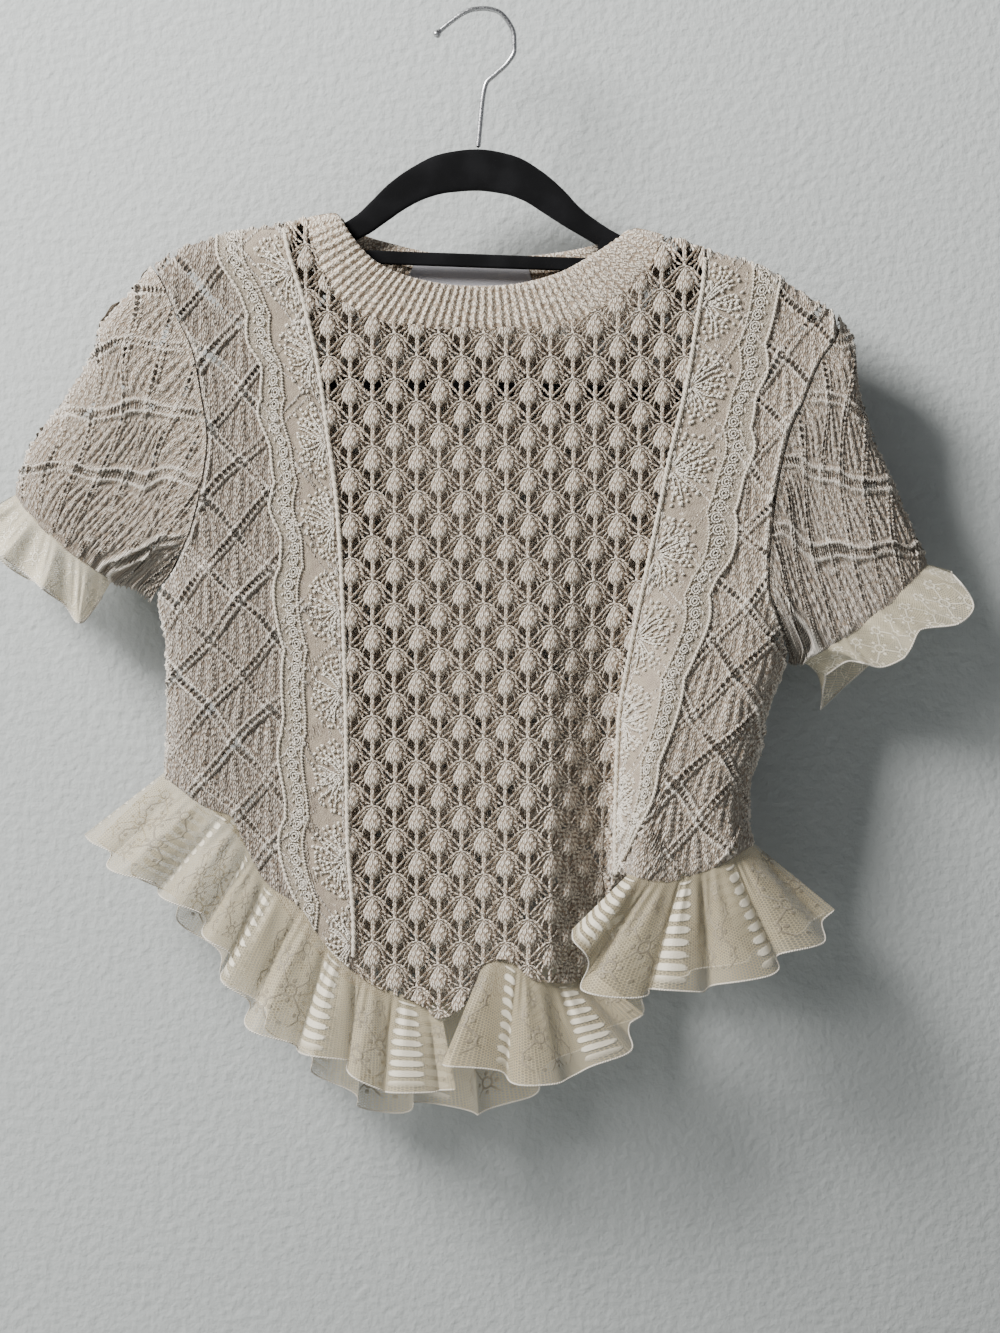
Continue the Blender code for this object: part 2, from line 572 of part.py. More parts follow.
class LeafPanel:
    """Front panel of leaf lace, between the two corded seams."""

    near = 2.5

    def __init__(self):
        """Lay out the knit columns and rows, with extra ones beside the neck."""
        columns = [(k * BUD_PITCH, k) for k in range(-BUD_COLUMNS, BUD_COLUMNS + 1)]
        columns += [(NECK_LEFT_COLUMN, None), (NECK_RIGHT_COLUMN, None)]
        self.columns = sorted(columns, key=lambda column: column[0])
        half = BUD_REPEAT / 2
        rows = [(BUD_ROW_TOP - k * half, k) for k in range(-7, 30)]
        rows += [(-130.5, None), (-141.0, None), (-147.0, None)]
        self.rows = sorted(rows, key=lambda row: -row[0])

    def places(self):
        """Across and height of every grid point, and how far each is kept back."""
        distances = [column[0] for column in self.columns]
        across = np.zeros((len(self.rows), len(self.columns)))
        side = np.zeros_like(across, dtype=int)
        for r, (z, _) in enumerate(self.rows):
            left = float(curve(STRIP_LEFT_INNER, z)) + SEAM_GAP
            right = float(curve(STRIP_RIGHT_INNER, z)) - SEAM_GAP
            x = arc_columns(z, left, right, distances)
            for corner in (NECK_FRONT[0][2], NECK_FRONT[-1][2]):
                if z > NECK_CORNER_ROWS:
                    x[int(np.argmin(np.abs(x - corner)))] = corner
            side[r] = np.where(x < left + self.near, -1, np.where(x > right - self.near, 1, 0))
            across[r] = np.where(side[r] < 0, left, np.where(side[r] > 0, right, x))
        return across, side

    def build(self):
        """Collapse the grid onto the panel's outline, cut the holes and close the wall."""
        across, side = self.places()
        rows, columns = across.shape
        heights = np.repeat(np.array([row[0] for row in self.rows])[:, None], columns, axis=1)
        top = front_top(across)
        hem = curve(HEM_FRONT, across)
        over = heights >= top - self.near
        under = heights <= hem + self.near
        owner = np.zeros((rows, columns, 2), dtype=int)
        for r in range(rows):
            first = int(np.max(np.nonzero(side[r] < 0)[0], initial=0))
            last = int(np.min(np.nonzero(side[r] > 0)[0], initial=columns - 1))
            for c in range(columns):
                owner[r, c] = (r, min(max(c, first), last))
        x = np.zeros((rows, columns))
        z = np.zeros((rows, columns))
        for c in range(columns):
            first = int(np.max(np.nonzero(over[:, c])[0], initial=0))
            last = int(np.min(np.nonzero(under[:, c])[0], initial=rows - 1))
            for r in range(rows):
                held = min(max(r, first), last)
                x[r, c] = across[held, c]
                z[r, c] = heights[held, c]
                if held == first:
                    z[r, c] = top[held, c]
                if held == last:
                    z[r, c] = hem[held, c]
        free = ~(over | under) & (side == 0)
        key = {}
        points = []
        relief = []
        index = np.zeros((rows, columns), dtype=int)
        for r in range(rows):
            for c in range(columns):
                place = tuple(owner[r, c])
                spot = (round(x[place], 3), round(z[place], 3))
                if spot not in key:
                    key[spot] = len(points)
                    points.append(spot)
                    bud = self.is_bud(*place) and free[place]
                    relief.append(BUD_RAISE if bud else 0.0)
                index[r, c] = key[spot]
        inner = body_points(FRONT_FOLDS, -1, *np.array(points).T)
        outer = body_points(FRONT_FOLDS, -1, *np.array(points).T, KNIT + np.array(relief))
        plain = body_points(FRONT_FOLDS, -1, *np.array(points).T, np.full(len(points), KNIT))
        highest = [int(k) for k in dict.fromkeys(index[0])]
        lowest = [int(k) for k in dict.fromkeys(index[-1])]
        self.top = Edge(inner[highest], plain[highest])
        self.hem = Edge(inner[lowest], plain[lowest])
        inner, outer, faces = self.cut(index, free, inner, outer, plain)
        return close_wall("front_panel", inner, outer, faces, "knit")

    def is_bud(self, r, c):
        """Whether a grid point is the middle of a leaf bud."""
        row = self.rows[r][1]
        column = self.columns[c][1]
        return row is not None and column is not None and (row + column) % 2 == 0

    def has_hole(self, r, c, free):
        """Whether a cell holds the large gap beside a leaf's tip."""
        corners = [(r, c), (r, c + 1), (r + 1, c), (r + 1, c + 1)]
        if not all(free[corner] for corner in corners):
            return False
        rows = [self.rows[k][1] for k in (r, r + 1)]
        columns = [self.columns[k][1] for k in (c, c + 1)]
        if None in rows + columns:
            return False
        return rows[0] % 2 == 0

    def cut(self, index, free, inner, outer, plain):
        """Faces of the panel, with a ring of four round each hole."""
        faces = []
        inner = list(inner)
        outer = list(outer)
        for r in range(index.shape[0] - 1):
            for c in range(index.shape[1] - 1):
                corners = [index[r, c], index[r, c + 1], index[r + 1, c + 1], index[r + 1, c]]
                kept = list(dict.fromkeys(corners))
                if len(kept) < 3:
                    continue
                if not self.has_hole(r, c, free):
                    faces.append(tuple(kept))
                    continue
                bud_left = self.is_bud(r, c)
                middle = HOLE_ACROSS if bud_left else 1 - HOLE_ACROSS
                ring = []
                for du, dv in ((-1, -1), (1, -1), (1, 1), (-1, 1)):
                    u = middle + du * HOLE_HALF
                    v = HOLE_DOWN + dv * HOLE_HALF
                    weights = ((1 - u) * (1 - v), u * (1 - v), u * v, (1 - u) * v)
                    ring.append(len(inner))
                    inner.append(sum(w * inner[k] for w, k in zip(weights, corners)))
                    outer.append(sum(w * plain[k] for w, k in zip(weights, corners)))
                for k in range(4):
                    n = (k + 1) % 4
                    faces.append((corners[k], corners[n], ring[n], ring[k]))
        return inner, outer, faces


class SidePanel:
    """Side of the front with its lace strip, from the armhole to the corded seam."""

    def __init__(self, name, side, seam, outer, armpit, facing):
        """Keep the seam tables; `facing` is -1 on the left and 1 on the right."""
        self.name = name
        self.side = side
        self.seam = seam
        self.outer_line = outer
        self.armpit = armpit
        self.facing = facing

    def across(self, c, z):
        """Across of column c at height z."""
        side = float(self.side(z))
        seam = float(curve(self.seam, z)) + self.facing * SEAM_GAP
        outer = float(curve(self.outer_line, z))
        near = [side - self.facing * step for step in EDGE_COLUMNS]
        middle = 0.5 * (near[-1] + outer)
        return (*near, middle, outer, 0.5 * (outer + seam), seam)[c]

    def build(self):
        """Make the panel, with raised leaves clear of the strip, and keep its edges."""
        x = np.zeros((PANEL_ROWS, 8))
        z = np.zeros_like(x)
        for r in range(PANEL_ROWS):
            for c in range(8):
                level = -160.0
                for _ in range(8):
                    across = self.across(c, level)
                    top = float(front_top(across))
                    level = row_level(r, top, self.armpit, float(curve(HEM_FRONT, across)))
                x[r, c] = across
                z[r, c] = level
        relief = np.zeros_like(x)
        relief[5:-1:3, 4] = DIAMOND_RAISE
        relief[6:-1:3, 3] = DIAMOND_RAISE
        inner = body_points(FRONT_FOLDS, -1, x, z)
        plain = body_points(FRONT_FOLDS, -1, x, z, np.full_like(x, KNIT))
        outer = body_points(FRONT_FOLDS, -1, x, z, KNIT + relief)
        self.inner = inner
        self.outer = plain
        self.hem = Edge(inner[-1], plain[-1])
        grid_wall("front_side_" + self.name, inner, outer, "knit")
        self.build_strip(x, z)

    def build_strip(self, x, z):
        """Make the lace strip on the panel's own points, moved out."""
        columns = slice(5, 8)
        low = np.full(x[:, columns].shape, KNIT + SEAM_GAP)
        raised = low + LACE
        raised[:, -1] += 1.2
        inner = body_points(FRONT_FOLDS, -1, x[:, columns], z[:, columns], low)
        outer = body_points(FRONT_FOLDS, -1, x[:, columns], z[:, columns], raised)
        grid_wall("lace_strip_" + self.name, inner, outer, "lace")


class BackPanel:
    """Back in one piece, from shoulder to hem and side to side."""

    def build(self):
        """Make the panel on the same rows as the front's sides and keep its edges."""
        near = len(EDGE_COLUMNS)
        columns = 2 * near + sum(BACK_SPANS) - 1
        x = np.zeros((PANEL_ROWS, columns))
        z = np.zeros_like(x)
        for r in range(PANEL_ROWS):
            for c in range(columns):
                level = -160.0
                for _ in range(8):
                    across = self.across(c, columns, level)
                    share = c / (columns - 1)
                    armpit = ARMPIT_LEFT + (ARMPIT_RIGHT - ARMPIT_LEFT) * share
                    top = float(back_top(across))
                    level = row_level(r, top, armpit, float(curve(HEM_BACK, across)))
                x[r, c] = across
                z[r, c] = level
        self.inner = body_points(BACK_FOLDS, 1, x, z)
        self.outer = body_points(BACK_FOLDS, 1, x, z, np.full_like(x, KNIT))
        self.top = Edge(self.inner[0], self.outer[0])
        self.hem = Edge(self.inner[-1], self.outer[-1])
        grid_wall("back_panel", self.inner, self.outer, "knit")

    def across(self, c, columns, z):
        """Across of column c at height z."""
        left = float(inside_left(z))
        right = float(inside_right(z))
        near = len(EDGE_COLUMNS)
        if c < near:
            return left + EDGE_COLUMNS[c]
        if c >= columns - near:
            return right - EDGE_COLUMNS[columns - 1 - c]
        marks = (left + EDGE_COLUMNS[-1], NECK_BACK[0][2], NECK_BACK[0][2] + BACK_NECK_COLUMN,
                 NECK_BACK[-1][2] - BACK_NECK_COLUMN, NECK_BACK[-1][2],
                 right - EDGE_COLUMNS[-1])
        step = c - near + 1
        for spans, start, end in zip(BACK_SPANS, marks, marks[1:]):
            if step <= spans:
                return start + (end - start) * step / spans
            step -= spans
        return marks[-1]


def build_neckband(name, stations, folds, facing, ribs, edge):
    """Ribbed half of the neckband, from its free edge to the panel's top edge."""
    count = 2 * ribs + 1
    t = np.linspace(0.0, 1.0, count)
    free = path([(row[0], row[1]) for row in stations], t)
    free[:, 1] = np.minimum(free[:, 1], shoulder_height(free[:, 0]))
    joined = path([(row[2], row[3]) for row in stations], t)
    joined_in, joined_out = edge.beside(joined[:, 0], JOIN_GAP, 0.0, 1.0)
    middle = 0.5 * (free + joined_in[:, [0, 2]])
    middle[:, 1] = np.minimum(middle[:, 1], shoulder_height(middle[:, 0]))
    raised = RIB_BASE + RIB_RAISE * (np.arange(count) % 2)
    inner = np.array([body_points(folds, facing, *free.T),
                      body_points(folds, facing, *middle.T), joined_in])
    normal = (joined_out - joined_in) / KNIT
    outer = np.array([body_points(folds, facing, *free.T, raised),
                      body_points(folds, facing, *middle.T, raised),
                      joined_in + normal * raised[:, None]])
    grid_wall(name, inner, outer, "knit")


class Sleeve:
    """Short sleeve as a flattened tube, with the gathered lace at its cuff."""

    rings = 6

    def __init__(self, name, panel, back, top, under):
        """Keep the side and back panels that the sleeve is set into, and its folds."""
        self.name = name
        self.panel = panel
        self.back = back
        self.top = top
        self.under = under

    def armhole(self):
        """Inner points down the front edge and the back edge of the armhole."""
        rows = ARMPIT_ROW + 1
        column = 0 if self.panel.facing < 0 else -1
        sides = []
        for inner, outer in ((self.panel.inner[:rows, 0], self.panel.outer[:rows, 0]),
                             (self.back.inner[:rows, column], self.back.outer[:rows, column])):
            spread = np.maximum(self.panel.facing * (outer[:, 0] - inner[:, 0]), 0.0)
            points = inner.copy()
            spread[-3:] += ARMPIT_STEP
            points[:, 0] += self.panel.facing * (JOIN_GAP + spread)
            sides.append(points)
        return sides

    def ring_points(self, s):
        """One ring of the sleeve's inside, s from 0 at the armhole to 1 at the cuff."""
        near_edge, far_edge = self.armhole()
        steps = np.linalg.norm(np.diff(near_edge[:, [0, 2]], axis=0), axis=1)
        t = np.concatenate([[0.0], np.cumsum(steps)]) / np.sum(steps)
        inset = np.array([-self.panel.facing * KNIT * 0.6, -KNIT])
        rise = np.array([0.0, KNIT])
        cuff_top = np.array(self.top[-1]) + inset
        cuff_under = np.array(self.under[-1]) + rise
        cuff = cuff_top + (cuff_under - cuff_top) * t[:, None]
        bow = np.array([self.panel.facing * SLEEVE_BOW, -SLEEVE_BOW])
        cuff = cuff + bow * np.sin(np.pi * t)[:, None]
        sides = []
        for facing, hole in ((-1, near_edge), (1, far_edge)):
            plane_hole = hole[:, [0, 2]]
            top = path([tuple(plane_hole[0]), *self.inset_rows(self.top, inset)], np.array([s]))[0]
            under = path([tuple(plane_hole[-1]), *self.inset_rows(self.under, rise)],
                         np.array([s]))[0]
            corners = ((1 - s) * (1 - t)[:, None] * plane_hole[0]
                       + (1 - s) * t[:, None] * plane_hole[-1]
                       + s * (1 - t)[:, None] * cuff_top + s * t[:, None] * cuff_under)
            plane = ((1 - s) * plane_hole + s * cuff + (1 - t)[:, None] * top
                     + t[:, None] * under - corners)
            ease = float(smoothstep(s))
            arch = np.sin(np.pi * np.clip(t, 0.0, 1.0))
            arch[-1] = 0.0
            swell = SLEEVE_DEPTH * np.power(np.abs(arch), 0.6)
            fold = -facing * SLEEVE_FOLD * np.sin(2.6 * np.pi * t + 0.8) * arch * math.sin(math.pi * s)
            depth = (1 - ease) * np.abs(hole[:, 1]) + ease * swell + fold
            depth[0] = depth[-1] = 0.0
            sides.append(np.column_stack([plane[:, 0], facing * depth, plane[:, 1]]))
        near, far = sides
        return np.concatenate([near, far[-2:0:-1]])

    def inset_rows(self, rows, inset):
        """Outline points after the first, moved to the inside of the cloth."""
        return [(x + inset[0], z + inset[1]) for x, z in rows[1:]]

    def build(self):
        """Make the sleeve's tube and keep its mouth."""
        s = np.linspace(0.0, 1.0, self.rings)
        inner = np.array([self.ring_points(value) for value in s])
        normal = outward_normals(inner)
        first = normal[0]
        first[:, 0] = self.panel.facing * np.maximum(self.panel.facing * first[:, 0], 0.0)
        axis = inner[-1].mean(axis=0) - inner[-2].mean(axis=0)
        axis /= np.linalg.norm(axis)
        ahead = np.maximum(normal[-1] @ axis, 0.0)
        normal[-1] -= ahead[:, None] * axis
        normal /= np.linalg.norm(normal, axis=-1, keepdims=True)
        thick = np.full(inner.shape[:2], KNIT)
        for r in range(1, self.rings - 1):
            for c in range(inner.shape[1]):
                if (c + 3 * (r % 2)) % 6 == 5:
                    thick[r, c] += DIAMOND_RAISE
        outer = inner + normal * thick[..., None]
        grid_wall("sleeve_" + self.name, inner, outer, "knit", wrap=True)
        self.mouth = (inner[-1], outer[-1], axis)


def outward_normals(tube):
    """Normals of a closed tube of rings, turned away from its middle."""
    normal = grid_normals(tube, wrap=True)
    centre = tube.mean(axis=1, keepdims=True)
    if np.mean(np.sum(normal * (tube - centre), axis=-1)) < 0:
        normal = -normal
    return normal


def build_cuff(sleeve, front_edge, back_edge):
    """Gathered lace that hangs from a sleeve's mouth."""
    inner_ring, outer_ring, axis = sleeve.mouth
    count = CUFF_WAVES * 4
    half = len(inner_ring) // 2
    marks = np.concatenate([np.linspace(0.0, 0.5, half + 1),
                            np.linspace(0.5, 1.0, len(inner_ring) - half + 1)[1:]])
    t = np.arange(count) / count
    closed_in = np.vstack([inner_ring, inner_ring[:1]])
    closed_out = np.vstack([outer_ring, outer_ring[:1]])
    seam_in = np.column_stack([np.interp(t, marks, closed_in[:, k]) for k in range(3)])
    seam_out = np.column_stack([np.interp(t, marks, closed_out[:, k]) for k in range(3)])
    seam_in += axis * JOIN_GAP
    seam_out += axis * JOIN_GAP
    start = seam_in + (seam_out - seam_in) * 0.2
    free = np.zeros((count, 3))
    for k, share in enumerate(t):
        on_front = share <= 0.5
        edge = front_edge if on_front else back_edge
        place = path(edge, np.array([2 * share if on_front else 2 - 2 * share]))[0]
        depth = (SLEEVE_DEPTH + CUFF_FLARE) * abs(math.sin(2 * math.pi * share)) ** 0.7
        free[k] = (place[0], -depth if on_front else depth, place[1])
    wave = np.sin(2 * np.pi * CUFF_WAVES * t + 0.5 * np.sin(4 * np.pi * t))
    side = np.where(t <= 0.5, -1.0, 1.0)
    rows = []
    for v in (0.0, 0.45, 1.0):
        row = start * (1 - v) + free * v
        sway = CUFF_WAVE_DEPTH * v * np.abs(np.sin(2 * np.pi * t)) ** 0.5
        row[:, 1] += side * wave * sway
        rows.append(row)
    inner = np.array(rows)
    normal = outward_normals(inner)
    outer = inner + normal * LACE
    outer[0] = seam_in + (seam_out - seam_in) * 0.8
    grid_wall("cuff_ruffle_" + sleeve.name, inner, outer, "tulle", wrap=True)


def build_ruffle(name, stations, edge, facing, waves, flare, sway, ends):
    """Gathered lace below the hem, waved at its free edge."""
    count = waves * 5 + 1
    t = np.linspace(0.0, 1.0, count)
    hem = path([(row[0], row[1]) for row in stations], t)
    lower = path([(row[2], row[3]) for row in stations], t)
    start_in, start_out = edge.beside(hem[:, 0], -JOIN_GAP, 0.2, 0.8)
    depth = facing * start_in[:, 1] + flare
    for at, held in ends:
        share = np.exp(-((t - at) / 0.07) ** 2)
        depth = depth * (1 - share) + held * share
    wave = np.sin(2 * np.pi * waves * t + 0.6 * np.sin(5 * np.pi * t))
    calm = smoothstep(np.minimum(t, 1 - t) / 0.05)
    rows = []
    for v, lift in ((0.0, 0.0), (0.45, 0.6), (1.0, 1.0)):
        across = start_in[:, 0] * (1 - v) + lower[:, 0] * v
        height = start_in[:, 2] * (1 - v) + lower[:, 1] * v
        out = facing * start_in[:, 1] * (1 - lift) + depth * lift + sway * lift * wave * calm
        out = np.maximum(out, SEAM_GAP)
        rows.append(np.column_stack([across, facing * out, height]))
    inner = np.array(rows)
    normal = grid_normals(inner)
    if np.mean(normal[..., 1]) * facing < 0:
        normal = -normal
    outer = inner + normal * LACE
    outer[0] = start_out
    outer[..., 1] = facing * np.maximum(facing * outer[..., 1], facing * inner[..., 1] + 0.4)
    grid_wall(name, inner, outer, "tulle")


def build_label():
    """Plain woven label lying on the inside of the back neckband."""
    t = np.linspace(*LABEL_SPAN, 7)
    inner_edge = path([(row[0], row[1]) for row in NECK_BACK], t)
    outer_edge = path([(row[2], row[3]) for row in NECK_BACK], t)
    places = np.array([inner_edge * (1 - share) + outer_edge * share for share in (0.3, 0.95)])
    x = places[..., 0]
    z = places[..., 1]
    lift = np.full_like(x, -SEAM_GAP - 0.2)
    near = body_points(BACK_FOLDS, 1, x, z, lift)
    far = body_points(BACK_FOLDS, 1, x, z, lift - LACE)
    grid_wall("neck_label", far, near, "label")


def extrude_outline(name, outline, thickness, finish, bevel=1.2):
    """Solid from an outline in the hanger's plane, with its edges eased."""
    shell = bmesh.new()
    half = thickness / 2
    ring = [shell.verts.new((x * MM, -half * MM, z * MM)) for x, z in outline]
    face = shell.faces.new(ring)
    made = bmesh.ops.extrude_face_region(shell, geom=[face])
    moved = [item for item in made["geom"] if isinstance(item, bmesh.types.BMVert)]
    bmesh.ops.translate(shell, verts=moved, vec=(0.0, thickness * MM, 0.0))
    bmesh.ops.recalc_face_normals(shell, faces=shell.faces[:])
    rims = [edge for edge in shell.edges
            if abs(edge.verts[0].co.y - edge.verts[1].co.y) < half * MM]
    bmesh.ops.bevel(shell, geom=rims, offset=bevel * MM, segments=1, affect="EDGES")
    bmesh.ops.triangulate(shell, faces=shell.faces[:])
    bmesh.ops.recalc_face_normals(shell, faces=shell.faces[:])
    mesh = bpy.data.meshes.new(name)
    shell.to_mesh(mesh)
    shell.free()
    return add_object(name, mesh, finish)


def bar_outline(middle, heights):
    """Outline of a bar along a middle line, with a height at each point."""
    points = np.array(middle, dtype=float)
    run = np.gradient(points, axis=0)
    run /= np.linalg.norm(run, axis=1, keepdims=True)
    across = np.column_stack([-run[:, 1], run[:, 0]])
    half = np.array(heights)[:, None] / 2
    upper = points + across * half
    lower = points - across * half
    return [tuple(p) for p in upper] + [tuple(p) for p in lower[::-1]]


def build_hanger():
    """Slim velvet hanger: arch, two arms that turn back, tie bar, struts, lower bar."""
    left = np.array(ARM_LEFT[-1])
    right = np.array(ARM_RIGHT[-1])
    run = (right - left) / np.linalg.norm(right - left)
    under = {}
    ends = {}
    for name, arm, turn in (("left", ARM_LEFT, run), ("right", ARM_RIGHT, -run)):
        line = [*arm, tuple(np.array(arm[-1]) + turn * BAR_HEIGHT)]
        fall = (ARM_HEIGHT - BAR_HEIGHT) / (len(line) - 2)
        heights = [max(ARM_HEIGHT - fall * k, BAR_HEIGHT) for k in range(len(line))]
        outline = bar_outline(line, heights)
        extrude_outline("hanger_arm_" + name, outline, HANGER_THICK, "velvet")
        half = len(outline) // 2
        lower, upper = sorted((outline[:half], outline[half:][::-1]),
                              key=lambda side: side[0][1])
        back = np.array(line[0]) - np.array(line[1])
        back *= SEAM_GAP / np.linalg.norm(back)
        ends[name] = [tuple(np.array(side[0]) + back) for side in (upper, lower)]
        under[name] = sorted((x, z - SEAM_GAP) for x, z in lower[:4])
    arch = [ends["left"][0], *ARCH_TOP, *ends["right"], *ARCH_UNDER, ends["left"][1]]
    extrude_outline("hanger_arch", arch, HANGER_THICK, "velvet")
    start = left + run * (BAR_HEIGHT + SEAM_GAP)
    end = right - run * (BAR_HEIGHT + SEAM_GAP)
    ends = (tuple(start), tuple(end))
    extrude_outline("hanger_trouser_bar", bar_outline(ends, (BAR_HEIGHT, BAR_HEIGHT)),
                    HANGER_THICK, "velvet")
    build_tie_bar(under)


def build_tie_bar(under):
    """Tie bar with short struts that reach up to just under the arms."""
    bottom = [(x, z - TIE_HEIGHT / 2) for x, z in TIE_BAR]
    (left_out, left_in), (right_in, right_out) = STRUT_SPANS
    outline = [bottom[0], bottom[1]]
    for x in (right_out, right_in):
        outline.append((x, float(np.interp(x, *np.array(under["right"]).T))))
    for x in (right_in, left_in):
        height = float(np.interp(x, *np.array(TIE_BAR).T)) + TIE_HEIGHT / 2
        outline.append((x, height))
    for x in (left_in, left_out):
        outline.append((x, float(np.interp(x, *np.array(under["left"]).T))))
    extrude_outline("hanger_tie_bar", outline[::-1], HANGER_THICK, "velvet", bevel=0.8)


def build_hook():
    """Chrome wire hook with a small ball at its tip, its stem ending above the arch."""
    centres = path(HOOK_PATH, np.linspace(0.0, 1.0, 36))
    radii = np.full(len(centres), HOOK_RADIUS)
    run = np.gradient(centres, axis=0)
    run /= np.linalg.norm(run, axis=1, keepdims=True)
    tip = centres[0]
    ball = [tip - run[0] * HOOK_BALL * step for step in BALL_STEPS]
    ball_radii = [HOOK_BALL * size for size in BALL_SIZES]
    start = next(k for k in range(len(centres))
                 if np.linalg.norm(centres[k] - tip) > HOOK_BALL * 0.9)
    centres = np.vstack([ball, centres[start:]])
    radii = np.concatenate([ball_radii, radii[start:]])
    run = np.vstack([[run[0]] * len(ball), run[start:]])
    sides = 8
    shell = bmesh.new()
    rings = []
    for centre, along, radius in zip(centres, run, radii):
        ring = []
        for k in range(sides):
            angle = 2 * math.pi * k / sides
            x = centre[0] - along[1] * radius * math.cos(angle)
            z = centre[1] + along[0] * radius * math.cos(angle)
            ring.append(shell.verts.new((x * MM, radius * math.sin(angle) * MM, z * MM)))
        rings.append(ring)
    for upper, lower in zip(rings, rings[1:]):
        for k in range(sides):
            n = (k + 1) % sides
            shell.faces.new([upper[k], upper[n], lower[n], lower[k]])
    shell.faces.new(rings[0])
    shell.faces.new(rings[-1][::-1])
    bmesh.ops.recalc_face_normals(shell, faces=shell.faces[:])
    for face in shell.faces:
        face.smooth = len(face.verts) == 4
    bmesh.ops.triangulate(shell, faces=shell.faces[:])
    mesh = bpy.data.meshes.new("hanger_hook")
    shell.to_mesh(mesh)
    shell.free()
    add_object("hanger_hook", mesh, "chrome")


def main():
    """Build every piece."""
    clear_scene()
    left = SidePanel("left", inside_left, STRIP_LEFT_INNER, STRIP_LEFT_OUTER, ARMPIT_LEFT, -1)
    right = SidePanel("right", inside_right, STRIP_RIGHT_INNER, STRIP_RIGHT_OUTER,
                      ARMPIT_RIGHT, 1)
    front = LeafPanel()
    back = BackPanel()
    for panel in (front, left, right, back):
        panel.build()
    build_neckband("neckband_front", NECK_FRONT, FRONT_FOLDS, -1, 38, front.top)
    build_neckband("neckband_back", NECK_BACK, BACK_FOLDS, 1, 28, back.top)
    build_label()
    sleeve_left = Sleeve("left", left, back, SLEEVE_LEFT_TOP, SLEEVE_LEFT_UNDER)
    sleeve_right = Sleeve("right", right, back, SLEEVE_RIGHT_TOP, SLEEVE_RIGHT_UNDER)
    sleeve_left.build()
    sleeve_right.build()
    build_cuff(sleeve_left, CUFF_LEFT_FRONT, CUFF_LEFT_BACK)
    build_cuff(sleeve_right, CUFF_RIGHT_FRONT, CUFF_RIGHT_BACK)
    whole = Edge(np.vstack([left.hem.inner, front.hem.inner[1:-1], right.hem.inner]),
                 np.vstack([left.hem.outer, front.hem.outer[1:-1], right.hem.outer]))
    build_ruffle("hem_ruffle_left", RUFFLE_LEFT, whole, -1, 9, 8.0, 6.0, ((0.0, 2.0),))
    build_ruffle("hem_ruffle_centre", RUFFLE_CENTRE, whole, -1, 3, 10.0, 5.0, ())
    build_ruffle("hem_ruffle_right", RUFFLE_RIGHT, whole, -1, 5, 8.0, 6.0, ((1.0, 2.0),))
    build_ruffle("hem_ruffle_back", RUFFLE_BACK, back.hem, 1, 14, 5.0, 5.0,
                 ((0.0, 2.0), (1.0, 2.0)))
    build_hanger()
    build_hook()


main()
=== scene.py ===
"""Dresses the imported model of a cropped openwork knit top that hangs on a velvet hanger.

The front of the garment faces -Y. Lengths in the tables are millimetres, and become metres
where a mesh is made. Each piece of cloth lies on the depth field that the solids lie on, so
it goes where they are with no fitting.
"""
import logging
import math
from dataclasses import dataclass
from enum import Enum

import bmesh
import bpy
import numpy as np
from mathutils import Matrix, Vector


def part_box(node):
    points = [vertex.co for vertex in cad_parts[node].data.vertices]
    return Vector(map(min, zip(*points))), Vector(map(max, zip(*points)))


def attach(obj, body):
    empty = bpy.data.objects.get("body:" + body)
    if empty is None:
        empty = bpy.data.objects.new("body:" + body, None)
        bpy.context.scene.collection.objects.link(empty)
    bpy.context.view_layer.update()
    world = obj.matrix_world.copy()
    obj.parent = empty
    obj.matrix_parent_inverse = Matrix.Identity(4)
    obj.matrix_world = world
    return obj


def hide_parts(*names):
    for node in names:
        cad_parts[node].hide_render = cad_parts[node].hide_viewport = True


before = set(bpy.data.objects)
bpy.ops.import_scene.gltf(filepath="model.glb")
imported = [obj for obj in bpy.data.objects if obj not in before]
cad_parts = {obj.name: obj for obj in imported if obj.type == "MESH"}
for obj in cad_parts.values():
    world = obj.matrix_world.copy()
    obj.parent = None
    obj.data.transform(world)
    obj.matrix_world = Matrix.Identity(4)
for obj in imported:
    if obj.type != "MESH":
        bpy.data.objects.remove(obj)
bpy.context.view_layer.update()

LOG = logging.getLogger("knit_top")
MM = 0.001
CLOTH_UNIT = 100.0

Points = np.ndarray
Thing = bpy.types.Object
Material = bpy.types.Material
Tree = bpy.types.NodeTree
Node = bpy.types.Node
Socket = bpy.types.NodeSocket

# Leaf of the front panel and its stem: distance below the tip, half width, height
LEAF_STATIONS = (
    (0, 1.5, 1.7), (1.6, 1.5, 1.9), (3.2, 2.3, 2.3), (4.8, 3.2, 2.7), (6.4, 4.1, 3.1), (8, 4.9, 3.4),
    (9.6, 5.4, 3.6), (11.2, 5.5, 3.6), (12.6, 5.1, 3.3), (13.8, 4.1, 2.9), (14.8, 2.8, 2.4),
    (15.8, 1.6, 2), (17.2, 1, 1.6), (18.6, 1.4, 1.9), (20, 1, 1.6), (21.4, 1.4, 1.9), (22.8, 1, 1.6),
    (24.2, 1.4, 1.9), (25.6, 1.1, 1.7), (26.9, 1.5, 1.8),
)
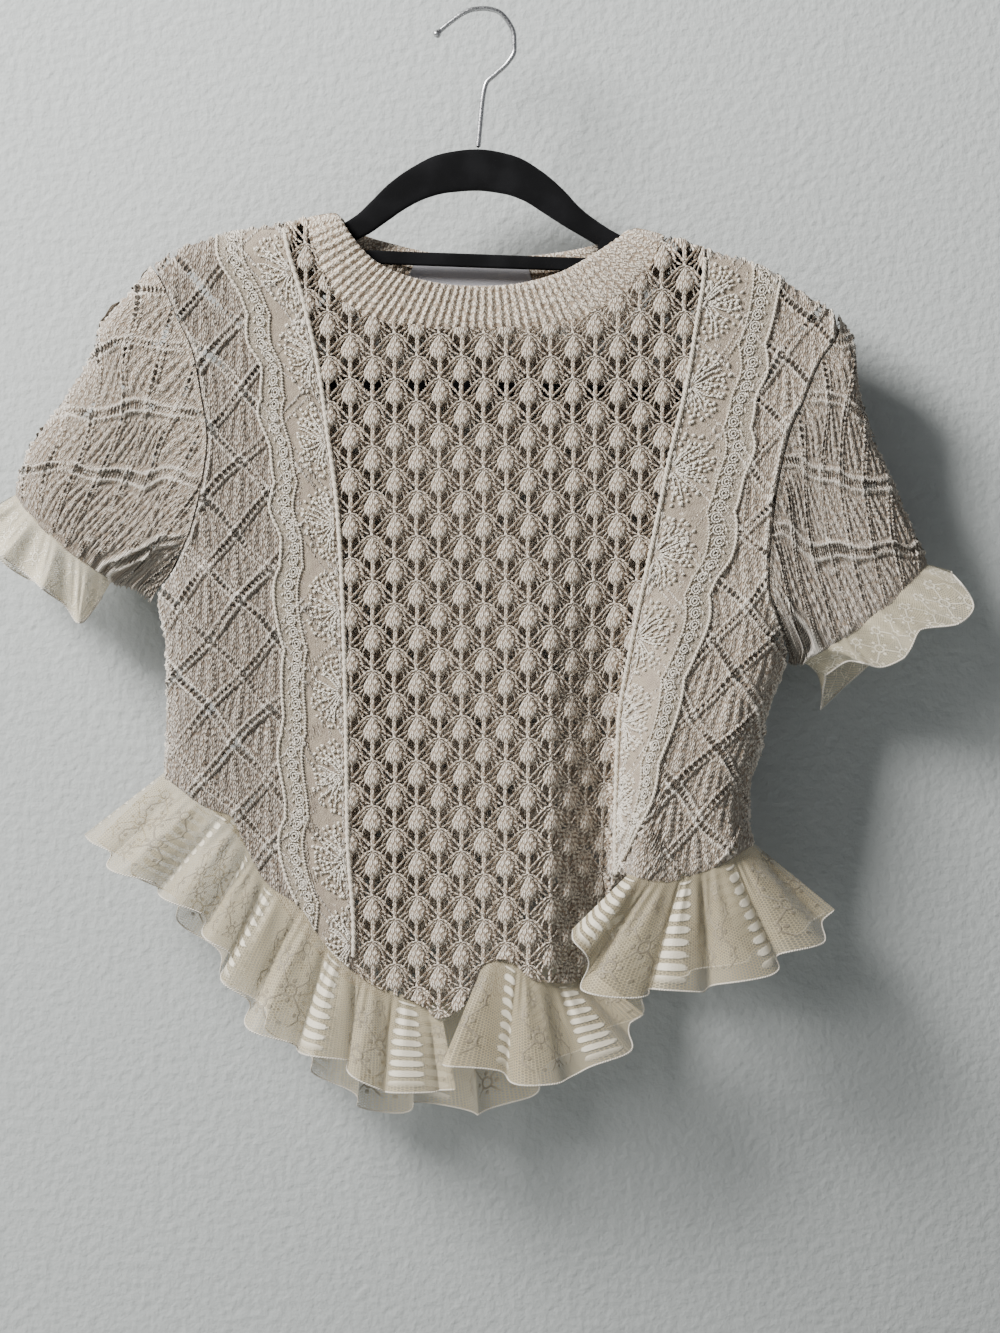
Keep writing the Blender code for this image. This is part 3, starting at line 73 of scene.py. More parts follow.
# Ribs and strands beside a leaf: line as across and down, half width, height
LEAF_RIBS = (
    (((0.4, 0.2), (2.6, 0.6), (4.8, 2.2), (6.9, 4.4), (8.9, 6.7), (10.8, 8.7), (12.4, 10.4)),
     0.62, 2.2),
    (((1.0, 1.4), (3.2, 2.8), (5.2, 5.2), (6.8, 7.8), (7.6, 9.6)), 0.50, 2.3),
    (((5.6, 8.8), (8.0, 10.8), (11.2, 12.6)), 0.42, 1.8),
    (((5.3, 11.2), (6.9, 13.1), (8.6, 15.4)), 0.42, 1.8),
    (((4.6, 13.2), (5.4, 15.2), (5.9, 17.8)), 0.42, 1.8),
)


class Facing(Enum):
    """Which way a body field faces."""

    FRONT = -1
    BACK = 1


KNIT = 1.6
SEAM_GAP = 0.3
COLUMN_MIDDLE = -12.6
SHOULDER_ROUND = 18.0
SIDE_ROUND = 26.0
ARMHOLE_EASE = 45.0
STEEPEST_SLOPE = 8.0
FIELD_STEP = 2.0
LADDER_REPEAT = 62.0
CUFF_REPEAT = 34.0
RUFFLE_DEPTH = 56.0
ARMPIT_LEFT = -353.4
ARMPIT_RIGHT = -388.8
SLEEVE_DEPTH = 17.0
SLEEVE_BOW = 3.0
SLEEVE_FOLD = 2.5
CUFF_WAVES = 8
CUFF_WAVE_DEPTH = 5.0
CUFF_FLARE = 6.0
HOOK_RADIUS = 1.6
HOOK_BALL = 2.7
LABEL_SPAN = (0.30, 0.64)
HANGER_THICK = 5.2

SIDE_LEFT = (
    (-153.6, -198.6), (-162.6, -193.8), (-181.8, -186), (-205.2, -175.2), (-231.6, -169.8),
    (-257.4, -166.2), (-285, -169.8), (-309.6, -175.8), (-334.8, -185.4), (-353.4, -195.6),
    (-381.6, -190.8), (-408.6, -190.2), (-436.2, -190.8), (-460, -192),
)
SIDE_RIGHT = (
    (-182.4, 211.8), (-194.4, 213), (-211.8, 203), (-236.4, 192.6), (-255.6, 184.2), (-305.4, 174.6),
    (-341.4, 172.2), (-388.8, 181.8), (-410.4, 174.6), (-424.2, 170.4), (-448.8, 165), (-462, 160.8),
    (-483.6, 159.6), (-498, 162.6),
)
SHOULDER = (
    (-198.6, -153.6), (-178.2, -141.6), (-159.6, -135.6), (-120, -127.8), (-87, -122.4), (0, -118),
    (90.6, -131.4), (108.6, -135.6), (131.4, -142.2), (165, -153.6), (198.6, -174), (211.8, -182.4),
)
NECK_FRONT = (
    (-87, -122.4, -105, -126), (-77.4, -137.4, -99, -148), (-64.2, -151.2, -86, -172.4),
    (-48.6, -159, -64, -185), (-33, -163.2, -41, -189.2), (-16, -165.8, -19, -190.6),
    (0, -166.2, 3, -190.9), (16, -165.4, 25, -190.2), (32, -162.4, 47, -187.9),
    (47, -157.5, 66, -180.6), (61, -150, 83, -170), (75.5, -141, 97.5, -157),
    (89.4, -131.4, 107.4, -136.2),
)
NECK_BACK = (
    (-87, -122.4, -105, -126), (-78, -131, -92, -144), (-53, -139, -62, -159.5),
    (-30, -144, -33, -166.5), (-3, -146.4, -3, -169), (28, -145.8, 28, -168.2),
    (54, -142.5, 60, -163.5), (76, -137, 90, -152), (89.4, -131.4, 107.4, -136.2),
)
STRIP_LEFT_INNER = (
    (-126, -120), (-147, -115.2), (-172.8, -107.4), (-197.4, -101.4), (-218.4, -97.2), (-257.4, -91.8),
    (-292.8, -87), (-334.2, -84), (-379.8, -82.2), (-425.4, -81), (-496.2, -79.8), (-553.2, -76.2),
    (-580, -77),
)
STRIP_LEFT_OUTER = (
    (-134, -160), (-145.8, -158), (-172.8, -144), (-198.6, -139.8), (-216, -131), (-238.2, -134.6),
    (-265.2, -125.5), (-296.4, -126.5), (-318, -119.5), (-342.6, -124), (-371.4, -121), (-421.2, -118),
    (-436.2, -122), (-472.2, -117), (-492.6, -120.5), (-515.4, -116.5), (-540, -110),
)
STRIP_RIGHT_INNER = (
    (-142.2, 132), (-159.6, 131.4), (-188.4, 127.2), (-214.8, 123), (-236.4, 118.8), (-268.8, 111),
    (-303, 104.4), (-349.2, 95.4), (-389.4, 88.2), (-425.4, 83), (-496.2, 81.6), (-530, 82),
)
STRIP_RIGHT_OUTER = (
    (-155, 178), (-176, 173.5), (-194.4, 171), (-214.8, 169.2), (-235.2, 161.4), (-258.6, 162),
    (-283.2, 153.6), (-304.8, 151.8), (-328.2, 146.4), (-343.2, 138), (-363.6, 134), (-387, 125),
    (-404.4, 119.6), (-424.8, 113), (-445.2, 106.5), (-467, 101), (-481, 96), (-500, 89.5),
    (-516, 82.5), (-530, 82),
)
HEM_FRONT = (
    (-192.6, -456.6), (-182.4, -465), (-164.4, -477.6), (-150.6, -482.4), (-143.4, -496.8),
    (-130.2, -520.8), (-106.2, -538.8), (-97.2, -553.8), (-75, -576), (-60, -585), (-37.8, -593.4),
    (-25.8, -601.8), (-12.6, -596.4), (0.6, -569.4), (12, -567), (33, -579.6), (52.8, -581.4),
    (60, -573), (70.2, -548.4), (77.4, -527.4), (83.4, -516.6), (105, -520.8), (123.6, -516.6),
    (140.4, -510.6), (162.6, -498),
)
HEM_BACK = (
    (-192.6, -456.6), (-152, -492), (-116, -546), (-80, -584), (-38, -598), (-2, -596), (34, -578),
    (70, -545), (106, -524), (162.6, -498),
)
FRONT_FOLDS = (
    ((-140, -169.8, 10), (-260, -148.8, 14), (-380, -160.8, 17), (-500, -142.8, 18)),
    ((-140, -133.8, 10), (-260, -106.8, 13), (-380, -100.8, 16), (-500, -97.8, 21),
     (-560, -91.8, 24)),
    ((-140, -55, 12), (-260, -49.8, 14), (-380, -49.8, 17), (-500, -49.8, 22),
     (-600, -44, 27)),
    ((-140, -12.6, 12.5), (-260, -12.6, 15), (-380, -12.6, 19), (-500, -12.6, 26),
     (-600, -14, 33)),
    ((-140, 31.2, 12.5), (-260, 31.2, 15), (-380, 31.2, 22), (-500, 31.2, 31),
     (-580, 30, 37)),
    ((-140, 70.2, 12), (-260, 70.2, 14), (-320, 70.2, 13), (-380, 71.4, 9),
     (-440, 72.6, 6), (-500, 72, 4)),
    ((-140, 126, 11), (-260, 124.2, 15), (-320, 119.4, 19), (-380, 115.8, 27),
     (-440, 105, 36), (-500, 94.2, 42), (-540, 92, 43)),
    ((-140, 170, 10), (-200, 166.2, 12), (-260, 158, 15), (-320, 151.2, 18),
     (-380, 145.2, 25), (-440, 139.2, 33), (-500, 133.2, 37)),
)
BACK_FOLDS = (
    ((-140, -150, 9), (-300, -145, 13), (-460, -150, 17)),
    ((-140, -90, 9), (-300, -86, 12), (-460, -92, 11), (-600, -84, 9)),
    ((-140, -40, 10), (-300, -44, 14), (-460, -36, 18), (-600, -30, 21)),
    ((-140, 12, 10), (-300, 16, 12), (-460, 18, 11), (-600, 16, 10)),
    ((-140, 60, 9), (-300, 62, 13), (-460, 70, 19), (-600, 74, 22)),
    ((-140, 120, 9), (-300, 112, 11), (-460, 118, 12), (-600, 118, 12)),
    ((-140, 150, 9), (-300, 146, 14), (-460, 146, 18)),
)
SLEEVE_LEFT_TOP = (
    (-198.6, -153.6), (-209.4, -166.2), (-227.4, -186), (-234, -205.2), (-244.2, -222.6),
    (-257.4, -241.8), (-273, -265.2), (-280.8, -289.8),
)
SLEEVE_LEFT_UNDER = ((-195.6, -353.4), (-204.6, -349.5), (-222.6, -342.6))
SLEEVE_RIGHT_TOP = (
    (211.8, -182.4), (220.2, -195.6), (223.8, -225), (230.4, -249.6), (242.4, -276), (256.8, -309.6),
    (267, -331.8),
)
SLEEVE_RIGHT_UNDER = ((181.8, -388.8), (186.0, -391.5), (192.0, -392.0))

# Free edges of the cuff ruffles, top fold to underarm fold: across, height
CUFF_LEFT_FRONT = (
    (-297, -300), (-298, -317), (-283, -330), (-269.4, -340.2), (-258, -350), (-250, -356),
    (-240.6, -367.2), (-229, -352),
)
CUFF_LEFT_BACK = (
    (-297, -300), (-296, -320), (-278, -339), (-266, -344), (-252, -357), (-243, -366), (-234, -358),
    (-229, -352),
)
CUFF_RIGHT_FRONT = (
    (281, -337), (293, -357), (282, -368), (262, -371), (249, -389), (237, -393.6), (220, -390),
    (206, -398),
)
CUFF_RIGHT_BACK = (
    (281, -337), (284, -352), (272, -362), (256, -372), (240, -386), (218, -406), (203.4, -419),
    (206, -398),
)
RUFFLE_LEFT = (
    (-191, -456, -239, -494), (-180, -465, -216, -514), (-163, -477, -193, -525.6),
    (-149, -483, -173, -539), (-142, -497, -158, -557), (-129, -521, -146, -588),
    (-105, -539, -131, -610), (-96, -554, -106, -621), (-74, -576, -79, -629), (-59, -585, -62, -645),
    (-37, -593, -38, -645), (-24, -599, -16, -643),
)
RUFFLE_CENTRE = (
    (1, -571, -24, -628), (12, -568, 6, -631.8), (33, -580, 29, -639.6), (46, -581, 53, -635.4),
    (54, -577, 79.8, -623.4), (60, -570, 96, -600),
)
RUFFLE_RIGHT = (
    (87, -519, 53, -548), (95, -520, 63, -583), (105, -521, 85, -588), (114, -519, 106, -583),
    (124, -517, 124, -585), (133, -514, 142, -581), (141, -511, 163, -576), (150, -505, 181, -563),
    (156, -500, 198, -556), (160.5, -494, 211, -539),
)
RUFFLE_BACK = (
    (-190, -457, -232, -497), (-152, -492, -196, -528), (-134, -518, -160, -572),
    (-116, -546, -126, -612), (-98, -566, -98, -638), (-80, -584, -74, -657), (-58, -592, -55, -664),
    (-38, -598, -38, -657), (-18, -598, -4, -664), (-2, -596, 21, -655), (34, -578, 50, -628),
    (70, -545, 86, -608), (106, -524, 114, -582), (134, -511, 152, -572), (159, -497, 206, -541),
)
HOOK_PATH = (
    (-27.4, -13.6), (-24.6, -10.8), (-19.6, -6.8), (-12.4, -1.6), (-5.8, 1), (0.6, 1.6), (8.4, 0),
    (15, -6.2), (18.6, -14.6), (18.8, -23.4), (14.6, -31.2), (7.8, -37.6), (2, -43.2), (0.2, -50),
    (-1.2, -62.4), (-3, -82.4),
)


def smoothstep(value: Points) -> Points:
    """Ease from 0 to 1 as value goes from 0 to 1."""
    value = np.clip(value, 0.0, 1.0)
    return value * value * (3.0 - 2.0 * value)


def bell(value: Points, width: float) -> Points:
    """1 at zero, falling off smoothly over `width`."""
    return np.exp(-((value / width) ** 2))


def curve(rows: tuple, at: Points, value: int = 1) -> Points:
    """Read a smooth monotone curve through table rows.

    Args:
        rows: Rows whose first number is the key.
        at: Keys to read at.
        value: Column of the result.

    Returns:
        The value at each key, held at both ends.
    """
    table = np.array(sorted(rows), dtype=float)
    keys = table[:, 0]
    values = table[:, value]
    step = np.diff(keys)
    slope = np.diff(values) / step
    tangent = np.concatenate([[slope[0]], np.zeros(len(keys) - 2), [slope[-1]]])
    for k in range(1, len(keys) - 1):
        if slope[k - 1] * slope[k] > 0:
            before = 2 * step[k] + step[k - 1]
            after = step[k] + 2 * step[k - 1]
            tangent[k] = (before + after) / (before / slope[k - 1] + after / slope[k])
    at = np.asarray(at, dtype=float)
    index = np.clip(np.searchsorted(keys, at, side="right") - 1, 0, len(step) - 1)
    t = np.clip((at - keys[index]) / step[index], 0.0, 1.0)
    start = (1 + 2 * t) * (1 - t) ** 2 * values[index]
    end = t * t * (3 - 2 * t) * values[index + 1]
    rise = t * (1 - t) ** 2 * step[index] * tangent[index]
    fall = t * t * (t - 1) * step[index] * tangent[index + 1]
    return start + end + rise + fall


def run_length(points: Points) -> Points:
    """Length along a line of points, from 0 at the first."""
    return np.concatenate([[0.0], np.cumsum(np.linalg.norm(np.diff(points, axis=0), axis=1))])


def path(points: tuple, t: Points) -> Points:
    """Smooth path through points, t from 0 at the first to 1 at the last.

    Args:
        points: Stations of the path.
        t: Places to read.

    Returns:
        A point for each place.
    """
    stations = np.asarray(points, dtype=float)
    lengths = run_length(stations)
    keys = lengths / lengths[-1]
    return np.stack([curve(list(zip(keys, column)), t) for column in stations.T], axis=-1)


def rounding(distance: Points, radius: float) -> Points:
    """Quarter ellipse: 0 at the edge, 1 from `radius` inwards."""
    q = np.clip(distance / radius, 0.0, 1.0)
    return np.sqrt(np.clip(1.0 - (1.0 - q) ** 2, 0.0, 1.0))


def inside_left(z: Points) -> Points:
    """Inner face of the left armhole and side seam."""
    return curve(SIDE_LEFT, z) + KNIT


def inside_right(z: Points) -> Points:
    """Inner face of the right armhole and side seam."""
    return curve(SIDE_RIGHT, z) - KNIT


def shoulder_height(x: Points) -> Points:
    """Inner top of the cloth over the hanger's arms."""
    return curve(SHOULDER, x) - KNIT


def top_edge(stations: tuple, x: Points) -> Points:
    """Top edge of a body panel, below the neckband and along the shoulders.

    Args:
        stations: Rows of the neckband: free edge, then joined edge.
        x: Places across.

    Returns:
        Height of the edge at each place.
    """
    rows = [(row[2], row[3]) for row in stations]
    neck = np.minimum(curve(rows, x), shoulder_height(x))
    beside = (x < stations[0][2]) | (x > stations[-1][2])
    return np.where(beside, shoulder_height(x), neck)


def armhole_share(z: Points, armpit: float) -> Points:
    """1 along an armhole, falling to 0 at the armpit and below it."""
    return smoothstep((z - armpit) / ARMHOLE_EASE)


def grid_normals(points: Points, wrap: bool = False) -> Points:
    """Unit normals of a grid surface from its own neighbours.

    Args:
        points: Rows of points.
        wrap: Whether the last column meets the first.

    Returns:
        A normal for each point.
    """
    down = np.gradient(points, axis=0)
    if wrap:
        across = np.roll(points, -1, axis=1) - np.roll(points, 1, axis=1)
    else:
        across = np.gradient(points, axis=1)
    normal = np.cross(across, down)
    return normal / np.maximum(np.linalg.norm(normal, axis=-1, keepdims=True), 1e-9)


def ripple(x: Points, y: Points, seed: float) -> Points:
    """Smooth uneven variation between about -1 and 1, the same on every run.

    Args:
        x: First coordinate.
        y: Second coordinate.
        seed: Number that tells one pattern from another.

    Returns:
        The variation at each place.
    """
    first = np.sin(x * 1.31 + 2.1 * np.sin(y * 0.83 + seed) + seed)
    second = np.sin(y * 1.17 + 1.7 * np.sin(x * 0.71 - seed) + 2.3 * seed)
    return 0.5 * (first + second)


class BodyField:
    """Depth field that the front or the back of the body lies on."""

    def __init__(self, folds: tuple, facing: Facing) -> None:
        """Tabulate the cloth's own width from the middle column at each height.

        Args:
            folds: Fold lines, left to right.
            facing: Which way the cloth faces.
        """
        self.folds = folds
        self.sign = facing.value
        self.heights = np.arange(-690.0, -112.0, FIELD_STEP)
        across = np.linspace(-216.0, 216.0, 865)
        x, z = np.meshgrid(across, self.heights)
        depth = self.depth(x, z)
        run = np.hypot(np.diff(x, axis=1), np.diff(depth, axis=1))
        run = np.concatenate([np.zeros((len(x), 1)), np.cumsum(run, axis=1)], axis=1)
        self.widths = np.arange(-300.0, 300.5, 1.0)
        rows = []
        for row in run:
            middle = np.interp(COLUMN_MIDDLE, across, row)
            rows.append(np.interp(self.widths + middle, row, across))
        self.table = np.array(rows)
        self.across_keys = across
        self.run = run

    def depth(self, x: Points, z: Points) -> Points:
        """Distance of the cloth's inside from the middle plane.

        Args:
            x: Places across.
            z: Heights.

        Returns:
            The distance, never negative.
        """
        lines = [(curve(fold, z, 1), curve(fold, z, 2)) for fold in self.folds]
        depth = lines[0][1] + 0 * x
        for (x_a, d_a), (x_b, d_b) in zip(lines, lines[1:]):
            eased = d_a + (d_b - d_a) * smoothstep((x - x_a) / (x_b - x_a))
            depth = np.where(x > x_a, eased, depth)
        left = rounding(x - inside_left(z), SIDE_ROUND)
        right = rounding(inside_right(z) - x, SIDE_ROUND)
        open_left = armhole_share(z, ARMPIT_LEFT)
        open_right = armhole_share(z, ARMPIT_RIGHT)
        left = open_left + (1 - open_left) * left
        right = open_right + (1 - open_right) * right
        top = rounding(shoulder_height(x) - z, SHOULDER_ROUND)
        return np.maximum(depth * left * right * top, SEAM_GAP / 2)

    def place(self, width: Points, z: Points) -> Points:
        """Place across where the cloth's own width from the middle reaches `width`.

        Args:
            width: Distance along the cloth from the middle column, signed.
            z: Heights.

        Returns:
            Places across.
        """
        row = np.clip((z - self.heights[0]) / FIELD_STEP, 0, len(self.heights) - 1.001)
        column = np.clip(width - self.widths[0], 0, len(self.widths) - 1.001)
        r = row.astype(int)
        c = column.astype(int)
        fr = row - r
        fc = column - c
        upper = self.table[r, c] * (1 - fc) + self.table[r, c + 1] * fc
        lower = self.table[r + 1, c] * (1 - fc) + self.table[r + 1, c + 1] * fc
        return upper * (1 - fr) + lower * fr

    def width_at(self, x: Points, z: Points) -> Points:
        """The cloth's own width from the middle column to x, at each height.

        Args:
            x: Places across.
            z: Heights.

        Returns:
            Signed distances.
        """
        result = np.zeros(np.broadcast(x, z).shape)
        for k, (place, level) in enumerate(zip(np.ravel(x), np.ravel(z))):
            r = int(np.clip(round((level - self.heights[0]) / FIELD_STEP), 0, len(self.run) - 1))
            middle = np.interp(COLUMN_MIDDLE, self.across_keys, self.run[r])
            result.flat[k] = np.interp(place, self.across_keys, self.run[r]) - middle
        return result

    def points(self, x: Points, z: Points, lift: Points | float = 0.0) -> Points:
        """Points on the field, moved out of the cloth's inside by `lift`.

        Args:
            x: Places across.
            z: Heights.
            lift: Distance outwards.

        Returns:
            Points in millimetres.
        """
        x = np.asarray(x, dtype=float)
        z = np.asarray(z, dtype=float)
        step = 0.05
        depth = self.depth(x, z)
        slope_x = (self.depth(x + step, z) - self.depth(x - step, z)) / (2 * step)
        slope_z = (self.depth(x, z + step) - self.depth(x, z - step)) / (2 * step)
        slope_x = np.clip(slope_x, -STEEPEST_SLOPE, STEEPEST_SLOPE)
        slope_z = np.clip(slope_z, -STEEPEST_SLOPE, STEEPEST_SLOPE)
        normal = np.stack([-slope_x, self.sign * np.ones_like(x), -slope_z], axis=-1)
        normal /= np.linalg.norm(normal, axis=-1, keepdims=True)
        base = np.stack([x, self.sign * depth, z], axis=-1)
        return base + normal * (np.zeros_like(x) + lift)[..., None]


def grid_quads(rows: int, columns: int) -> Points:
    """Corner numbers of the cells of a grid whose points are numbered row by row.

    Args:
        rows: Rows of points.
        columns: Points in a row.

    Returns:
        Four numbers a cell.
    """
    index = np.arange(rows * columns).reshape(rows, columns)
    cells = [index[:-1, :-1], index[:-1, 1:], index[1:, 1:], index[1:, :-1]]
    return np.stack(cells, axis=-1).reshape(-1, 4)


def make_piece(name: str, points: Points, quads: Points, maps: dict, finish: Material,
               outward: tuple | None = None) -> Thing:
    """Make one piece of cloth from points and quads.

    Args:
        name: Name of the piece.
        points: Points in millimetres, in any shape whose last axis is 3.
        quads: Corner numbers of each face.
        maps: UV maps by name, each with two numbers a point, in millimetres.
        finish: The material.
        outward: Direction that the faces should mostly point to.

    Returns:
        The new object, at the origin.
    """
    flat = points.reshape(-1, 3)
    used, inverse = np.unique(quads.ravel(), return_inverse=True)
    corners = inverse.reshape(quads.shape)
    co = flat[used]
    if outward is not None:
        a, b, d = (co[corners[:, k]] for k in (0, 1, 3))
        lean = np.cross(b - a, d - a) @ np.array(outward, dtype=float)
        if np.sum(lean) < 0:
            corners = corners[:, ::-1]
    mesh = bpy.data.meshes.new(name)
    mesh.vertices.add(len(co))
    mesh.vertices.foreach_set("co", (co * MM).ravel())
    mesh.loops.add(corners.size)
    mesh.loops.foreach_set("vertex_index", corners.ravel().astype(np.int32))
    mesh.polygons.add(len(corners))
    mesh.polygons.foreach_set("loop_start", np.arange(0, corners.size, 4, dtype=np.int32))
    for label, values in maps.items():
        layer = mesh.uv_layers.new(name=label)
        spread = values.reshape(-1, 2)[used][corners.ravel()] / CLOTH_UNIT
        layer.uv.foreach_set("vector", spread.ravel().astype(np.float32))
    mesh.update(calc_edges=True)
    mesh.validate()
    mesh.shade_smooth()
    mesh.materials.append(finish)
    thing = bpy.data.objects.new(name, mesh)
    bpy.context.scene.collection.objects.link(thing)
    return thing


def repeat_form(points: Points, quads: Points) -> tuple[Points, Points]:
    """Number the faces of many copies of one form.

    Args:
        points: Points as (copies, points of one form, 3).
        quads: Faces of one form.

    Returns:
        All points and all faces.
    """
    copies, count = points.shape[:2]
    offsets = np.arange(copies)[:, None, None] * count
    return points.reshape(-1, 3), (quads[None] + offsets).reshape(-1, 4)


def tube(centres: Points, radius: Points | float, sides: int = 6) -> tuple[Points, Points, Points]:
    """Round cord along a line of points, tapered shut at both ends.

    Args:
        centres: The line, in millimetres.
        radius: Radius, one for all or one a point.
        sides: Points round the cord.

    Returns:
        Points, faces, and map values: round the cord and along it.
    """
    run = np.gradient(centres, axis=0)
    run /= np.maximum(np.linalg.norm(run, axis=1, keepdims=True), 1e-9)
    helper = np.array([0.0, 1.0, 0.0])
    first = np.cross(run, helper)
    first /= np.maximum(np.linalg.norm(first, axis=1, keepdims=True), 1e-6)
    second = np.cross(run, first)
    sizes = np.zeros(len(centres)) + radius
    sizes[[0, -1]] *= 0.05
    angle = np.linspace(0.0, 2 * np.pi, sides + 1)
    ring = (first[:, None] * np.cos(angle)[None, :, None]
            + second[:, None] * np.sin(angle)[None, :, None])
    points = centres[:, None] + ring * sizes[:, None, None]
    along = run_length(centres)
    maps = np.stack(np.broadcast_arrays(angle[None] * np.mean(sizes), along[:, None]), axis=-1)
    return points.reshape(-1, 3), grid_quads(len(centres), sides + 1), maps.reshape(-1, 2)


def gather(parts: list) -> tuple[Points, Points, Points]:
    """Join several (points, faces, map) forms into one.

    Args:
        parts: The forms.

    Returns:
        All points, faces and map values.
    """
    points = []
    quads = []
    maps = []
    count = 0
    for some, faces, values in parts:
        points.append(some)
        quads.append(faces + count)
        maps.append(values)
        count += len(some)
    return np.vstack(points), np.vstack(quads), np.vstack(maps)


class Signal:
    """A value in a node tree, which plain arithmetic extends with math nodes."""

    def __init__(self, graph: "Graph", socket: Socket) -> None:
        """Keep the graph and the socket."""
        self.graph = graph
        self.socket = socket

    def __add__(self, other: object) -> "Signal":
        """Sum."""
        return self.graph.math("ADD", self, other)

    def __sub__(self, other: object) -> "Signal":
        """Difference."""
        return self.graph.math("SUBTRACT", self, other)

    def __rsub__(self, other: object) -> "Signal":
        """Difference from a plain number."""
        return self.graph.math("SUBTRACT", other, self)

    def __mul__(self, other: object) -> "Signal":
        """Product."""
        return self.graph.math("MULTIPLY", self, other)

    def __truediv__(self, other: object) -> "Signal":
        """Quotient."""
        return self.graph.math("DIVIDE", self, other)

    def __pow__(self, other: object) -> "Signal":
        """Power."""
        return self.graph.math("POWER", self, other)

    def __abs__(self) -> "Signal":
        """Size without its sign."""
        return self.graph.math("ABSOLUTE", self)

    def fraction(self) -> "Signal":
        """Part after the point."""
        return self.graph.math("FRACT", self)

    def root(self) -> "Signal":
        """Square root."""
        return self.graph.math("SQRT", self)

    def larger(self, other: object) -> "Signal":
        """The larger of two values."""
        return self.graph.math("MAXIMUM", self, other)

    def ramp(self, low: object, high: float, start: float = 0.0, end: float = 1.0) -> "Signal":
        """Map low and high smoothly to start and end, held beyond both."""
        return self.graph.add("ShaderNodeMapRange", 0, enumerate((self, low, high, start, end)),
                              interpolation_type="SMOOTHSTEP")


class Graph:
    """Adds nodes to one node tree and joins them."""

    def __init__(self, tree: Tree) -> None:
        """Keep the tree."""
        self.tree = tree

    def feed(self, socket: Socket, value: object) -> None:
        """Fill a socket.

        Args:
            socket: Input of a node or of a group.
            value: A signal to join to it, or a plain value.
        """
        if isinstance(value, Signal):
            self.tree.links.new(value.socket, socket)
        else:
            socket.default_value = value

    def add(self, kind: str, output: int | str = 0, inputs: object = (),
            **settings: object) -> Signal:
        """Add a node.

        Args:
            kind: Blender's name for the node's type.
            output: The output to read.
            inputs: Signals or plain values, each with the input's number or name.
            settings: Properties by name.

        Returns:
            The value of the output.
        """
        made = self.tree.nodes.new(kind)
        for key, value in settings.items():
            setattr(made, key, value)
        for key, value in dict(inputs).items():
            self.feed(made.inputs[key], value)
        return Signal(self, made.outputs[output])

    def math(self, operation: str, *values: object) -> Signal:
        """Result of a math node."""
        return self.add("ShaderNodeMath", 0, enumerate(values), operation=operation)

    def mix(self, factor: object, first: object, second: object) -> Signal:
        """Mix two colours, the factor being the share of the second."""
        return self.add("ShaderNodeMix", 2, {0: factor, 6: first, 7: second}, data_type="RGBA")

    def noise(self, vector: Signal, scale: float, detail: float = 2.0) -> Signal:
        """Noise from 0 to 1."""
        return self.add("ShaderNodeTexNoise", 0, {"Vector": vector, "Scale": scale, "Detail": detail})

    def stretched(self, vector: Signal, x: float, y: float) -> Signal:
        """Scale a pattern's coordinates."""
        return self.add("ShaderNodeMapping", 0, {"Vector": vector, "Scale": (x, y, 1.0)})

    def split(self, vector: Signal) -> list:
        """Read the three numbers of a vector."""
        first = self.add("ShaderNodeSeparateXYZ", 0, {0: vector})
        return [Signal(self, socket) for socket in first.socket.node.outputs]

    def cloth_map(self, name: str = "grain") -> Signal:
        """Read a piece's own UV map."""
        return self.add("ShaderNodeUVMap", uv_map=name)

    def place(self) -> Signal:
        """Read the place on the object."""
        return self.add("ShaderNodeTexCoord", "Object")

    def use(self, group: Tree, **values: object) -> dict:
        """Place a shared effect, its inputs and outputs by name."""
        first = self.add("ShaderNodeGroup", 0, values, node_tree=group)
        return {socket.name: Signal(self, socket) for socket in first.socket.node.outputs}


def start_group(name: str, inputs: dict, outputs: tuple) -> tuple[Graph, dict, dict]:
    """Start a shader node group.

    Args:
        name: The effect's name.
        inputs: Default of each input; None makes a vector input.
        outputs: Names of the outputs, all single values.

    Returns:
        The graph, the signals of the inputs, and the sockets of the outputs.
    """
    tree = bpy.data.node_groups.new(name, "ShaderNodeTree")
    for key, value in inputs.items():
        kind = "NodeSocketVector" if value is None else "NodeSocketFloat"
        made = tree.interface.new_socket(name=key, in_out="INPUT", socket_type=kind)
        if value is not None:
            made.default_value = value
    for key in outputs:
        tree.interface.new_socket(name=key, in_out="OUTPUT", socket_type="NodeSocketFloat")
    graph = Graph(tree)
    source = tree.nodes.new("NodeGroupInput")
    sink = tree.nodes.new("NodeGroupOutput")
    return graph, {s.name: Signal(graph, s) for s in source.outputs}, {s.name: s for s in sink.inputs}


